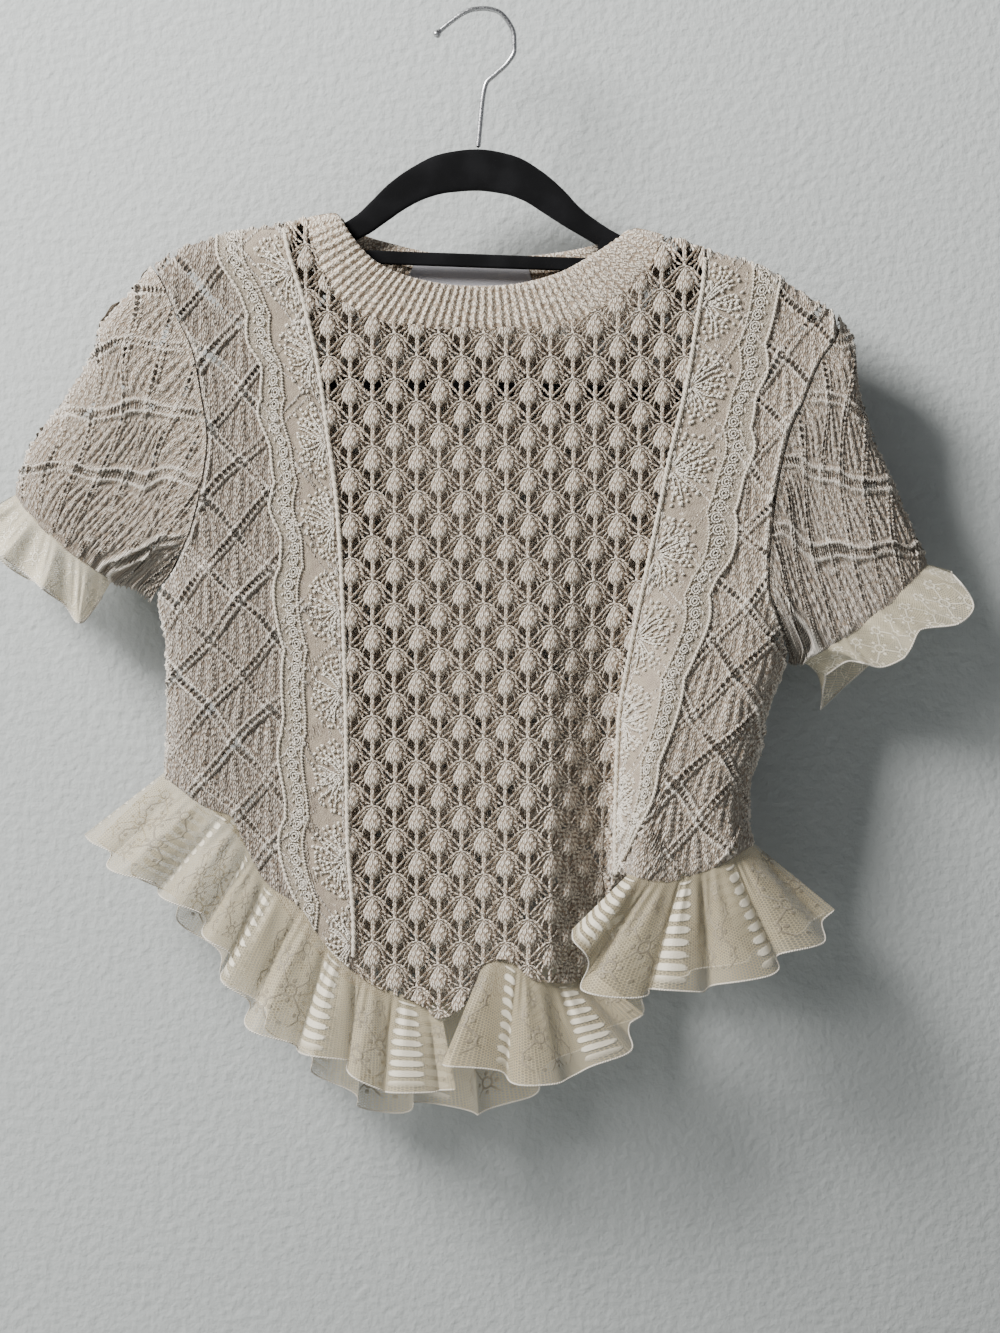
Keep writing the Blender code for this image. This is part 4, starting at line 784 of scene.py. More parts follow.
def stitch_group() -> Tree:
    """Build the knit effect: columns of V-shaped stitches in uneven yarn, and a mask for painted shade
    in the low places between the stitch strokes.

    Returns:
        The node group.
    """
    graph, given, result = start_group(
        "knit_stitches", {"Vector": None, "Width": 2.0, "Height": 1.6, "Waver": 0.5},
        ("Height", "Shade"))
    sway = (graph.noise(given["Vector"], 60.0) - 0.5) * given["Waver"]
    across, along, _ = graph.split(given["Vector"])
    across = across * CLOTH_UNIT + sway * 1.6
    along = along * CLOTH_UNIT + sway * 2.4
    side = abs((across / given["Width"] + 0.5).fraction() - 0.5)
    strokes = graph.add("ShaderNodeCombineXYZ", 0, {0: across / given["Width"] * 2.0,
                                                    1: along / given["Height"] + side * 1.5})
    cells = graph.add("ShaderNodeTexVoronoi", "Distance",
                      {"Vector": strokes, "Randomness": 0.7, "Scale": 1.0}, voronoi_dimensions="2D")
    fine = graph.noise(graph.stretched(given["Vector"], 1.0, 0.35), 190.0, 3.0)
    height = cells.ramp(0.66, 0.12) * 0.8 + fine * 0.45
    graph.feed(result["Height"], height)
    # Shade is low in the low places between the stitch strokes, where the finishes paint shade.
    graph.feed(result["Shade"], height.ramp(0.30, 0.95))
    return graph.tree


def eyelet_group() -> Tree:
    """Build the openwork effect: rows of small gaps along both diagonals of a lattice.

    Returns:
        The node group.
    """
    graph, given, result = start_group(
        "eyelet_rows", {"Vector": None, "Spacing": 29.0, "Count": 9.0, "Radius": 0.95}, ("Cloth",))
    first, second, _ = graph.split(given["Vector"])
    first = first * CLOTH_UNIT
    second = second * CLOTH_UNIT
    vary = graph.noise(given["Vector"], 130.0, 1.0)
    uneven = given["Radius"] * vary.ramp(0.35, 0.62, 0.2, 1.4)
    gaps = []
    for line, along in ((first, second), (second, first)):
        near = ((line + 0.5).fraction() - 0.5) * given["Spacing"] * 0.62
        step = ((along * given["Count"]).fraction() - 0.5) / given["Count"] * given["Spacing"]
        reach = (near * near + step * step).root() - uneven
        gaps.append(reach.ramp(-0.15, 0.2, 0.15, 1.0))
    graph.feed(result["Cloth"], gaps[0] * gaps[1])
    return graph.tree


def net_group() -> Tree:
    """Build the tulle effect: a fine six-sided net of thin threads.

    Returns:
        The node group.
    """
    graph, given, result = start_group("fine_net", {"Vector": None, "Pitch": 1.1}, ("Thread",))
    across, along, _ = graph.split(given["Vector"])
    scale = graph.math("DIVIDE", CLOTH_UNIT * 2 * math.pi, given["Pitch"])
    across = across * scale
    along = along * scale
    waves = [graph.math("COSINE", across * a + along * b)
             for a, b in ((1.0, 0.0), (-0.5, 0.866), (-0.5, -0.866))]
    graph.feed(result["Thread"], (waves[0] + waves[1] + waves[2]).ramp(-0.35, -1.0))
    return graph.tree


def trim_group() -> Tree:
    """Build the ruffle's woven figures: ladders of satin bars, and rings and dots between.

    Returns:
        The node group.
    """
    graph, given, result = start_group(
        "trim_figures", {"Vector": None, "Repeat": LADDER_REPEAT, "Depth": RUFFLE_DEPTH},
        ("Bar", "Line"))
    across, down, _ = graph.split(given["Vector"])
    across = across * CLOTH_UNIT
    down = down * CLOTH_UNIT
    place = ((across / given["Repeat"]).fraction() - 0.5) * given["Repeat"]
    step = ((down / 6.0).fraction() - 0.5) * 6.0
    ragged = graph.noise(given["Vector"], 110.0) * 4.6 + 4.4
    bar = (abs(place / ragged) ** 4.0 + abs(step / 2.0) ** 2.0).ramp(1.3, 0.6)
    inside = down.ramp(3.0, 4.0) * down.ramp(given["Depth"], 48.0)
    graph.feed(result["Bar"], bar * inside)
    far = given["Repeat"] * 0.5 - abs(place)
    slant = graph.math("SIGN", place) * far
    fall = down * 0.8
    off_p = 0.5 - abs(((slant + fall) / 17.0).fraction() - 0.5)
    off_q = 0.5 - abs(((slant - fall) / 17.0).fraction() - 0.5)
    reach = (off_p * off_p + off_q * off_q).root()
    line = graph.math("MINIMUM", off_p, off_q).ramp(0.036, 0.022) * reach.ramp(0.16, 0.18)
    ring = abs(reach - 0.18).ramp(0.045, 0.025)
    off_p = off_p - 0.23
    off_q = off_q - 0.23
    dot = (off_p * off_p + off_q * off_q).root().ramp(0.085, 0.06)
    band = far.ramp(17.0, 15.0) * down.ramp(6.0, 9.0) * down.ramp(50.0, 47.0)
    graph.feed(result["Line"], line.larger(ring).larger(dot) * band)
    return graph.tree


@dataclass
class Effects:
    """Shared node groups."""

    stitches: Tree
    eyelets: Tree
    net: Tree
    trim: Tree


def start_material(name: str, roughness: float, **sockets: float) -> tuple:
    """Start a Principled material.

    Args:
        name: Name of the finish.
        roughness: Plain roughness.
        sockets: Values for other sockets, by their names with _ for a space.

    Returns:
        The material, its graph and its shader.
    """
    made = bpy.data.materials.new(name)
    made.use_nodes = True
    shader = made.node_tree.nodes["Principled BSDF"]
    shader.inputs["Roughness"].default_value = roughness
    for key, value in sockets.items():
        shader.inputs[key.replace("_", " ")].default_value = value
    return made, Graph(made.node_tree), shader


def dimmed(colour: tuple, share: float) -> tuple:
    """Darken a colour to a share of itself."""
    return tuple(c * share for c in colour[:3]) + (1.0,)


def bump(graph: Graph, shader: Node, height: Signal, distance: float,
         strength: float = 1.0) -> None:
    """Feed a height to the shader's normal; a height of 1 stands for `distance` metres."""
    values = {"Strength": strength, "Distance": distance, "Height": height}
    graph.feed(shader.inputs["Normal"], graph.add("ShaderNodeBump", 0, values))


@dataclass(frozen=True)
class YarnFinish:
    """Matte cotton yarn, knit in V-shaped stitches."""

    name: str
    light: tuple = (0.95, 0.85, 0.715, 1.0)
    # dark: colour of the painted shade between the stitches; dimmed further, the painted shade in the
    # openwork's recesses.
    dark: tuple = (0.33, 0.25, 0.18, 1.0)
    # painted highlight: lighter colour laid on the highest places of the openwork's relief.
    painted_highlight: tuple = (0.96, 0.88, 0.765, 1.0)
    width: float = 2.0
    height: float = 1.6
    depth: float = 0.0009
    eyelets: bool = False

    def build(self, effects: Effects) -> Material:
        """Make the material.

        Args:
            effects: The shared node groups.

        Returns:
            The yarn material.
        """
        made, graph, shader = start_material(self.name, 0.86, Sheen_Weight=0.35,
                                             Sheen_Roughness=0.5, Specular_IOR_Level=0.2)
        grain = graph.cloth_map()
        knit = graph.use(effects.stitches, Vector=grain, Width=self.width, Height=self.height,
                         Waver=0.9)
        patch = graph.noise(grain, 9.0, 3.0)
        light = graph.mix(patch.ramp(0.35, 0.65), self.light, dimmed(self.light, 0.93))
        # Painted shade: the dark colour fills the low places between the stitch strokes.
        colour = graph.mix(knit["Shade"], self.dark, light)
        bump(graph, shader, knit["Height"], self.depth)
        if self.eyelets:
            holes = graph.use(effects.eyelets, Vector=graph.cloth_map("lattice"))
            graph.feed(shader.inputs["Alpha"], holes["Cloth"])
            # Openwork only: painted shade, the dimmed dark colour, in the low places of the relief
            # map, and a painted highlight on its high places.
            relief = graph.split(graph.cloth_map("relief"))[0]
            deep = relief.ramp(0.0, 0.009, 0.4, 1.0)
            high = relief.ramp(0.014, 0.026, 0.0, 0.8)
            colour = graph.mix(deep, dimmed(self.dark, 0.72), colour)
            colour = graph.mix(high, colour, self.painted_highlight)
        graph.feed(shader.inputs["Base Color"], colour)
        return made


@dataclass(frozen=True)
class TulleFinish:
    """Soft see-through net with woven satin figures."""

    name: str
    light: tuple = (0.60, 0.50, 0.315, 1.0)
    satin: tuple = (0.79, 0.725, 0.585, 1.0)
    # line: colour of the woven line figures; on a strip without figures, the painted shade between its
    # stitches.
    line: tuple = (0.24, 0.20, 0.14, 1.0)
    aged: tuple = (0.62, 0.54, 0.38, 1.0)
    thin: float = 0.27
    thick: float = 0.66
    figures: bool = True
    bars: bool = True

    def build(self, effects: Effects) -> Material:
        """Make the material.

        Args:
            effects: The shared node groups.

        Returns:
            The tulle material.
        """
        made, graph, shader = start_material(self.name, 0.55, Sheen_Weight=0.4, Sheen_Roughness=0.4)
        grain = graph.cloth_map()
        net = graph.use(effects.net, Vector=grain, Pitch=1.2)["Thread"]
        cover = net * (self.thick - self.thin) + self.thin
        if self.figures:
            repeat = LADDER_REPEAT if self.bars else CUFF_REPEAT
            trim = graph.use(effects.trim, Vector=grain, Repeat=repeat)
            figure = trim["Line"]
            colour = graph.mix(figure, self.light, self.line)
            if self.bars:
                colour = graph.mix(trim["Bar"], colour, self.satin)
                figure = figure.larger(trim["Bar"])
            cover = cover.larger(figure * 0.93)
            height = net * 0.3 + figure * 2.0
        else:
            knit = graph.use(effects.stitches, Vector=grain, Width=2.2, Height=1.5, Waver=2.0)
            border = graph.split(grain)[0].ramp(0.272, 0.284)
            depth = border * 0.65 + 0.35
            ground = graph.mix(border, self.light, self.satin)
            # Painted shade: the line colour fills the low places between the stitch strokes, more
            # strongly on the border.
            colour = graph.mix((1.0 - knit["Shade"]) * depth, ground, self.line)
            height = knit["Height"] * (depth * 2.0)
        patch = graph.noise(grain, 14.0).ramp(0.3, 0.7, 0.0, 0.25)
        graph.feed(shader.inputs["Base Color"], graph.mix(patch, colour, self.aged))
        graph.feed(shader.inputs["Alpha"], cover)
        bump(graph, shader, height, 0.0004, 0.8)
        return made


@dataclass(frozen=True)
class ThreadFinish:
    """Twisted embroidery thread and cord."""

    name: str
    light: tuple = (0.95, 0.885, 0.775, 1.0)
    # dark: painted shade in the grooves between the strands.
    dark: tuple = (0.50, 0.425, 0.325, 1.0)
    pitch: float = 1.6

    def build(self) -> Material:
        """Make the material with slanting strands along the thread.

        Returns:
            The thread material.
        """
        made, graph, shader = start_material(self.name, 0.7, Sheen_Weight=0.3)
        grain = graph.cloth_map()
        across, along, _ = graph.split(grain)
        slant = across * 60.0 + along * (CLOTH_UNIT / self.pitch)
        strand = 1.0 - abs(slant.fraction() - 0.5) * 2.0
        height = strand + graph.noise(grain, 150.0) * 0.5
        # Painted shade: the dark colour lies in the grooves between the twisted strands.
        graph.feed(shader.inputs["Base Color"],
                   graph.mix(height.ramp(0.15, 0.8), self.dark, self.light))
        bump(graph, shader, height, 0.0005)
        return made


@dataclass(frozen=True)
class SatinFinish:
    """Bare woven satin label."""

    name: str = "label_satin"
    dark: tuple = (0.50, 0.49, 0.53, 1.0)
    light: tuple = (0.66, 0.65, 0.68, 1.0)

    def build(self) -> Material:
        """Make the material with a fine weave.

        Returns:
            The satin material.
        """
        made, graph, shader = start_material(self.name, 0.42, Sheen_Weight=0.2)
        grain = graph.cloth_map()
        weft = graph.noise(graph.stretched(grain, 0.2, 3.0), 260.0)
        warp = graph.noise(graph.stretched(grain, 3.0, 0.2), 260.0)
        height = weft + warp * 0.6
        graph.feed(shader.inputs["Base Color"],
                   graph.mix(height.ramp(0.6, 1.1), self.dark, self.light))
        bump(graph, shader, height, 0.0002, 0.5)
        return made


@dataclass(frozen=True)
class VelvetFinish:
    """Short black pile on the hanger."""

    name: str = "hanger_velvet"
    dark: tuple = (0.003, 0.003, 0.0035, 1.0)
    light: tuple = (0.007, 0.007, 0.008, 1.0)

    def build(self) -> Material:
        """Make the material with a brushed pile.

        Returns:
            The velvet material.
        """
        made, graph, shader = start_material(self.name, 0.95, Sheen_Weight=0.02,
                                             Specular_IOR_Level=0.15)
        place = graph.place()
        brushed = graph.noise(place, 45.0, 3.0)
        graph.feed(shader.inputs["Base Color"],
                   graph.mix(brushed.ramp(0.35, 0.7), self.dark, self.light))
        bump(graph, shader, graph.noise(place, 1600.0, 2.0), 0.0003, 0.6)
        return made


@dataclass(frozen=True)
class ChromeFinish:
    """Drawn wire with a satin plate."""

    name: str = "hook_chrome"
    dark: tuple = (0.42, 0.42, 0.43, 1.0)
    light: tuple = (0.62, 0.62, 0.63, 1.0)

    def build(self) -> Material:
        """Make the material with fine drawing marks.

        Returns:
            The chrome material.
        """
        made, graph, shader = start_material(self.name, 0.28, Metallic=1.0)
        marks = graph.noise(graph.place(), 900.0, 3.0)
        graph.feed(shader.inputs["Base Color"], graph.mix(marks, self.dark, self.light))
        graph.feed(shader.inputs["Roughness"], marks.ramp(0.3, 0.7, 0.22, 0.4))
        bump(graph, shader, marks, 0.00005, 0.4)
        return made


@dataclass
class Finishes:
    """Every material, made once."""

    leaf: Material
    net: Material
    diamond: Material
    side: Material
    rib: Material
    ruffle: Material
    cuff: Material
    strip: Material
    thread: Material
    cord: Material
    label: Material
    velvet: Material
    chrome: Material


def build_finishes() -> Finishes:
    """Make the shared effects and every finish.

    Returns:
        The finishes.
    """
    effects = Effects(stitch_group(), eyelet_group(), net_group(), trim_group())
    return Finishes(
        leaf=YarnFinish("leaf_yarn", width=2.6, height=2.6, depth=0.0014).build(effects),
        # The net yarn's lighter colour is darker than the leaves': painted shade on the net lying
        # below the leaves.
        net=YarnFinish("net_yarn", light=(0.80, 0.69, 0.56, 1.0), width=2.2).build(effects),
        diamond=YarnFinish("diamond_yarn", light=(0.90, 0.805, 0.68, 1.0), width=2.6, height=2.6,
                           depth=0.0016, eyelets=True).build(effects),
        # A darker copy of the diamond yarn for the left side panel: painted shade.
        side=YarnFinish("side_left_yarn_painted_shade", light=(0.72, 0.635, 0.53, 1.0), dark=(0.22, 0.165, 0.12, 1.0),
                        width=2.6, height=2.6, depth=0.0018, eyelets=True).build(effects),
        rib=YarnFinish("rib_yarn", light=(0.84, 0.75, 0.625, 1.0), width=1.9, height=2.2,
                       depth=0.0008).build(effects),
        ruffle=TulleFinish("ruffle_tulle").build(effects),
        cuff=TulleFinish("cuff_tulle", light=(0.74, 0.645, 0.45, 1.0), line=(0.86, 0.80, 0.655, 1.0),
                         thin=0.3, thick=0.9, bars=False).build(effects),
        # The strip's line colour is the painted shade between its stitches.
        strip=TulleFinish("strip_tulle", light=(0.38, 0.305, 0.235, 1.0),
                          satin=(0.60, 0.53, 0.425, 1.0), line=(0.24, 0.19, 0.14, 1.0),
                          thin=0.75, thick=0.97, figures=False).build(effects),
        thread=ThreadFinish("petal_thread").build(),
        cord=ThreadFinish("seam_cord", light=(0.82, 0.735, 0.61, 1.0), pitch=2.2).build(),
        label=SatinFinish().build(),
        velvet=VelvetFinish().build(),
        chrome=ChromeFinish().build(),
    )


def finish_piece(piece: Thing, slot: str, *nodes: str) -> Thing:
    """Let a piece ride on the body and stand for its nodes.

    Args:
        piece: The piece.
        slot: Not used.
        nodes: Nodes of the part that it replaces.

    Returns:
        The piece.
    """
    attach(piece, "root")
    if nodes:
        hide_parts(*nodes)
    LOG.info("%s: %d faces", piece.name, len(piece.data.polygons))
    return piece


@dataclass
class LeafLace:
    """Front panel: columns of leaf buds on an open net."""

    field: BodyField
    finishes: Finishes
    pitch: float = 13.3
    repeat: float = 26.8
    row_top: float = -208.1
    reach: float = 12.5

    def edges(self, z: Points) -> tuple[Points, Points]:
        """Places of the two corded seams at each height."""
        return curve(STRIP_LEFT_INNER, z) + SEAM_GAP, curve(STRIP_RIGHT_INNER, z) - SEAM_GAP

    def below_tip(self, u: Points, v: Points, column: Points) -> tuple[Points, Points]:
        """Place of a point beside and below the nearest leaf tip above it in one column."""
        shift = np.where(column % 2 == 0, 0.0, self.repeat / 2)
        return u - column * self.pitch, np.mod(self.row_top - shift - v, self.repeat)

    def strand_reach(self, u: Points, v: Points) -> Points:
        """Distance beyond the nearest strand, negative on it.

        Args:
            u: Places across the cloth.
            v: Places along the cloth.

        Returns:
            The distance at each place.
        """
        best = np.full(u.shape, 99.0)
        nearest = np.round(u / self.pitch)
        stations = np.array(LEAF_STATIONS)
        for step in (-1, 0, 1):
            beside, below = self.below_tip(u, v, nearest + step)
            beside = np.abs(beside)
            wide = np.interp(below, stations[:, 0], stations[:, 1])
            best = np.minimum(best, beside - wide + 0.2)
            for line, width, _ in LEAF_RIBS:
                for (u_a, v_a), (u_b, v_b) in zip(line, line[1:]):
                    run_u = u_b - u_a
                    run_v = v_b - v_a
                    t = ((beside - u_a) * run_u + (below - v_a) * run_v) / (run_u ** 2 + run_v ** 2)
                    t = np.clip(t, 0.0, 1.0)
                    reach = np.hypot(beside - u_a - t * run_u, below - v_a - t * run_v)
                    best = np.minimum(best, reach - width)
        return best

    def inside(self, x: Points, z: Points, margin: float) -> Points:
        """Whether places are on the panel, at least `margin` from its edges.

        Args:
            x: Places across.
            z: Heights.
            margin: Distance from the edges.

        Returns:
            True on the panel.
        """
        left, right = self.edges(z)
        return ((x > left + margin) & (x < right - margin)
                & (z < top_edge(NECK_FRONT, x) - margin)
                & (z > curve(HEM_FRONT, x) + margin))

    def held(self, x: Points, z: Points) -> tuple[Points, Points]:
        """Keep places within the panel's edges.

        Args:
            x: Places across.
            z: Heights.

        Returns:
            The places and the heights, brought to the nearest edge where they pass it.
        """
        x = np.clip(x, *self.edges(z))
        return x, np.clip(z, curve(HEM_FRONT, x), top_edge(NECK_FRONT, x))

    def build_net(self) -> Thing:
        """Make the net, open wherever no strand runs.

        Returns:
            The net.
        """
        half = int(self.reach * 12)
        u = np.arange(-half, half + 1) * self.pitch / 12
        v = self.row_top + np.arange(100, -354, -1) * self.repeat / 24
        u, v = np.meshgrid(u, v)
        quads = grid_quads(*u.shape)
        flat_u = u.ravel()
        flat_v = v.ravel()
        cut = self.strand_reach(flat_u[quads].mean(axis=1), flat_v[quads].mean(axis=1)) > 0.0
        x = self.field.place(flat_u, flat_v)
        good = self.inside(x, flat_v, -1.6)
        x, z = self.held(x, flat_v)
        lift = 0.9 + 0.45 * ripple(flat_u / 1.9, flat_v / 2.3, 0.4)
        beside, below = self.below_tip(flat_u, flat_v, np.round(flat_u / self.pitch))
        lift = lift + 1.4 * bell(beside, 3.0) * bell(below - 10.0, 5.0)
        points = self.field.points(x, z, lift)
        keep = ~cut & good[quads].all(axis=1)
        maps = {"grain": np.column_stack([flat_u, flat_v])}
        return make_piece("front_lace_net", points, quads[keep], maps, self.finishes.net,
                          (0, -1, 0))

    def leaf_form(self) -> tuple[Points, Points, Points]:
        """One leaf with its stem, ribs and veins.

        Returns:
            Points as (across, below the tip, height), faces, and map values of each point.
        """
        parts = []
        stations = np.array(LEAF_STATIONS)
        angle = np.linspace(0.0, np.pi, 11)
        groove = 1.0 + 0.10 * np.cos(angle * 10)
        across = -stations[:, 1:2] * np.cos(angle)[None] * (0.6 + 0.4 * groove)
        below = np.repeat(stations[:, 0:1], len(angle), axis=1)
        below = below + 0.9 * np.sin(angle)[None] * bell(stations[:, 0:1] - 12.0, 3.0)
        height = 0.2 + stations[:, 2:3] * np.sin(angle)[None] ** 0.8 * groove
        parts.append((np.stack([across, below, height], axis=-1).reshape(-1, 3),
                      grid_quads(*across.shape),
                      np.stack([across, -below], axis=-1).reshape(-1, 2)))
        for line, width, tall in LEAF_RIBS:
            t = np.linspace(0.0, 1.0, 2 * len(line) - 1)
            for side in (-1, 1):
                spine = path(line, t)
                spine[:, 0] *= side
                run = np.gradient(spine, axis=0)
                run /= np.linalg.norm(run, axis=1, keepdims=True)
                normal = np.column_stack([-run[:, 1], run[:, 0]])
                bead = 1.0 + 0.22 * np.cos(np.arange(len(t)) * np.pi)
                turn = np.linspace(0.0, np.pi, 4)
                place = (spine[:, None] + normal[:, None] * (np.cos(turn)[None, :, None]
                                                             * width * bead[:, None, None]))
                high = 0.2 + np.sin(turn)[None] * tall * (0.85 + 0.15 * bead[:, None])
                along = np.cumsum(np.full(len(t), 1.3))
                values = np.stack(np.broadcast_arrays(np.cos(turn)[None] * width,
                                                      along[:, None]), axis=-1)
                parts.append((np.concatenate([place, high[..., None]], axis=-1).reshape(-1, 3),
                              grid_quads(len(t), 4), values.reshape(-1, 2)))
        return gather(parts)

    def build_leaves(self) -> Thing:
        """Repeat the leaf down every column, each a little different.

        Returns:
            The leaves, as one piece.
        """
        form, quads, maps = self.leaf_form()
        copies = []
        for column in np.arange(-int(self.reach), int(self.reach) + 1):
            shift = 0.0 if column % 2 == 0 else self.repeat / 2
            for row in range(-5, 15):
                tip = (column * self.pitch, self.row_top - shift - row * self.repeat)
                vary = ripple(np.array(column * 2.7), np.array(row * 3.1), 1.7)
                other = ripple(np.array(column * 4.1), np.array(row * 1.9), 0.3)
                copy = form.copy()
                copy[:, 0] *= 1.0 + 0.08 * vary
                copy[:, 0] += 0.6 * other * np.sin(form[:, 1] * np.pi / 13.4)
                copy[:, 2] *= 1.0 + 0.15 * other
                copy[:, 0] += tip[0]
                copy[:, 1] = tip[1] - copy[:, 1]
                copies.append(copy)
        points, faces = repeat_form(np.array(copies), quads)
        values = np.tile(maps, (len(copies), 1))
        x = self.field.place(points[:, 0], points[:, 1])
        good = self.inside(x, points[:, 1], -1.2)
        x, z = self.held(x, points[:, 1])
        placed = self.field.points(x, z, 0.5 + points[:, 2])
        keep = good[faces].all(axis=1)
        return make_piece("front_lace_leaves", placed, faces[keep], {"grain": values},
                          self.finishes.leaf, (0, -1, 0))

    def build(self) -> None:
        net = finish_piece(self.build_net(), "knit", "front_panel")
        leaves = finish_piece(self.build_leaves(), "knit")


def diamond_relief(p: Points, q: Points) -> tuple[Points, Points]:
    """Height of the diamond lace and its lattice coordinates.

    Args:
        p: Place across the cloth, in millimetres.
        q: Place down the cloth, in millimetres.

    Returns:
        The height, and both lattice coordinates, whole on the diagonals.
    """
    wide = 38.0
    tall = 42.0
    spacing = 28.2
    p, q = (p + 2.4 * np.sin(q / 23.0 + 0.6) + 1.2 * np.sin(p / 9.0 + q / 15.0),
            q + 2.6 * np.sin(p / 27.0) + 1.3 * np.sin(q / 11.0 - p / 19.0))
    a = p / wide + q / tall
    b = p / wide - q / tall
    fa = np.mod(a, 1.0)
    fb = np.mod(b, 1.0)
    near_a = np.minimum(fa, 1.0 - fa) * spacing
    near_b = np.minimum(fb, 1.0 - fb) * spacing
    near = np.minimum(near_a, near_b)
    height = 2.7 * (bell(near_a - 2.1, 0.85) + bell(near_b - 2.1, 0.85))
    height = np.minimum(height, 3.0)
    local_p = 0.5 * ((fa - 0.5) + (fb - 0.5)) * wide
    local_q = 0.5 * ((fa - 0.5) - (fb - 0.5)) * tall
    within = smoothstep((near - 3.6) / 1.8)
    fan = np.abs(local_p) / (1.0 + 0.045 * (local_q + 21.0))
    ray = 0.5 + 0.5 * np.cos(2 * np.pi * (fan - 0.5) / 2.6)
    slit = 0.5 + 0.5 * np.cos(2 * np.pi * np.where(near_a < near_b, b, a) * 9.0)
    ladder = bell(near - 0.2, 1.0) * slit
    rays = 1.8 * ray + 0.5 * bell(local_p, 1.2)
    rays = rays * (0.7 + 0.3 * np.sin(local_q * 1.9 + fan * 2.0))
    height = np.maximum(height + within * rays, 1.6 * ladder)
    return height, np.stack([a, b], axis=-1)


@dataclass
class DiamondPanel:
    """Side or back panel of diamond lace."""

    name: str
    field: BodyField
    left: object
    right: object
    stations: tuple
    hem: tuple
    cell: float
    finish: Material
    length: float
    arc: float = 23.0

    def drop(self, distance: Points) -> Points:
        """Fall below the top edge after the cloth's own distance over the shoulder.

        Args:
            distance: Distance along the cloth from its top edge.

        Returns:
            The fall.
        """
        turn = 0.5 * np.pi * np.clip(distance / self.arc, 0.0, 1.0)
        beyond = distance - self.arc + SHOULDER_ROUND
        return np.where(distance < self.arc, SHOULDER_ROUND * (1.0 - np.cos(turn)), beyond)

    def build(self) -> Thing:
        """Make the panel from its top edge to its hem.

        Returns:
            The panel.
        """
        distances = np.arange(0.0, self.length, self.cell)
        heights = np.linspace(-600.0, -125.0, 40)
        low = float(np.min(self.field.width_at(self.left(heights), heights)))
        high = float(np.max(self.field.width_at(self.right(heights), heights)))
        widths = np.arange(low - self.cell, high + 2 * self.cell, self.cell)
        width, distance = np.meshgrid(widths, distances)
        z = -160.0 - distance
        x = self.field.place(width, z)
        for _ in range(5):
            z = top_edge(self.stations, x) - self.drop(distance)
            x = self.field.place(width, z)
            x = np.clip(x, self.left(z), self.right(z))
        z = top_edge(self.stations, x) - self.drop(distance)
        hem = curve(self.hem, x)
        margin = 1.3 * self.cell
        exact = self.field.place(width, z)
        good = ((exact > self.left(z) - margin) & (exact < self.right(z) + margin)
                & (z > hem - margin))
        z = np.maximum(z, hem)
        height, lattice = diamond_relief(width, -z)
        height = height * (0.9 + 0.2 * ripple(width / 17.0, z / 13.0, 0.9))
        beside = np.minimum(x - self.left(z), self.right(z) - x)
        edge = np.minimum(beside, z - hem)
        height = height * smoothstep(edge / 3.0) + 1.6 * bell(beside - 2.4, 1.1)
        loose = 0.25 * ripple(width / 1.3, z / 1.5, 2.2)
        points = self.field.points(x, z, 1.0 + height + loose)
        quads = grid_quads(*x.shape)
        keep = good.ravel()[quads].all(axis=1)
        # The relief map carries the height to the finish, which paints shade in its low places and a
        # highlight on its high ones.
        maps = {"grain": np.stack([width, z], axis=-1), "lattice": lattice,
                "relief": np.stack([height, height], axis=-1)}
        return make_piece(self.name, points, quads[keep], maps, self.finish,
                          (0, self.field.sign, 0))


@dataclass
class Neckband:
    """Ribbed half of the neckband, from its free edge to the panel's top edge."""

    name: str
    stations: tuple
    field: BodyField
    ribs: int
    finish: Material

    def build(self) -> Thing:
        """Make the band, turned over its free edge.

        Returns:
            The band.
        """
        count = self.ribs * 8 + 1
        t = np.linspace(0.0, 1.0, count)
        free = path([(row[0], row[1]) for row in self.stations], t)
        joined = path([(row[2], row[3]) for row in self.stations], t)
        rows = ((0.5, -0.1), (0.25, -0.2), (0.08, -0.1), (0.0, 0.5), (0.0, 1.3), (0.05, 2.0),
                (0.13, 2.3), (0.3, 2.4), (0.5, 2.35), (0.7, 2.3), (0.85, 2.2), (0.95, 1.9),
                (1.02, 1.4), (1.06, 0.9))
        wave = np.cos(2 * np.pi * self.ribs * t + 0.4 * np.sin(9 * np.pi * t))
        points = []
        maps = []
        for k, (share, lift) in enumerate(rows):
            place = free * (1 - share) + joined * share
            place[:, 1] = np.minimum(place[:, 1], shoulder_height(place[:, 0]))
            ease = 0.8 if k > 3 else 0.2
            points.append(self.field.points(place[:, 0], place[:, 1], lift + ease * wave))
            maps.append(np.column_stack([t * self.ribs * 2.8, np.full(count, share * 24.0)]))
        points = np.array(points)
        return make_piece(self.name, points, grid_quads(*points.shape[:2]),
                          {"grain": np.array(maps)}, self.finish, (0, self.field.sign, 0))


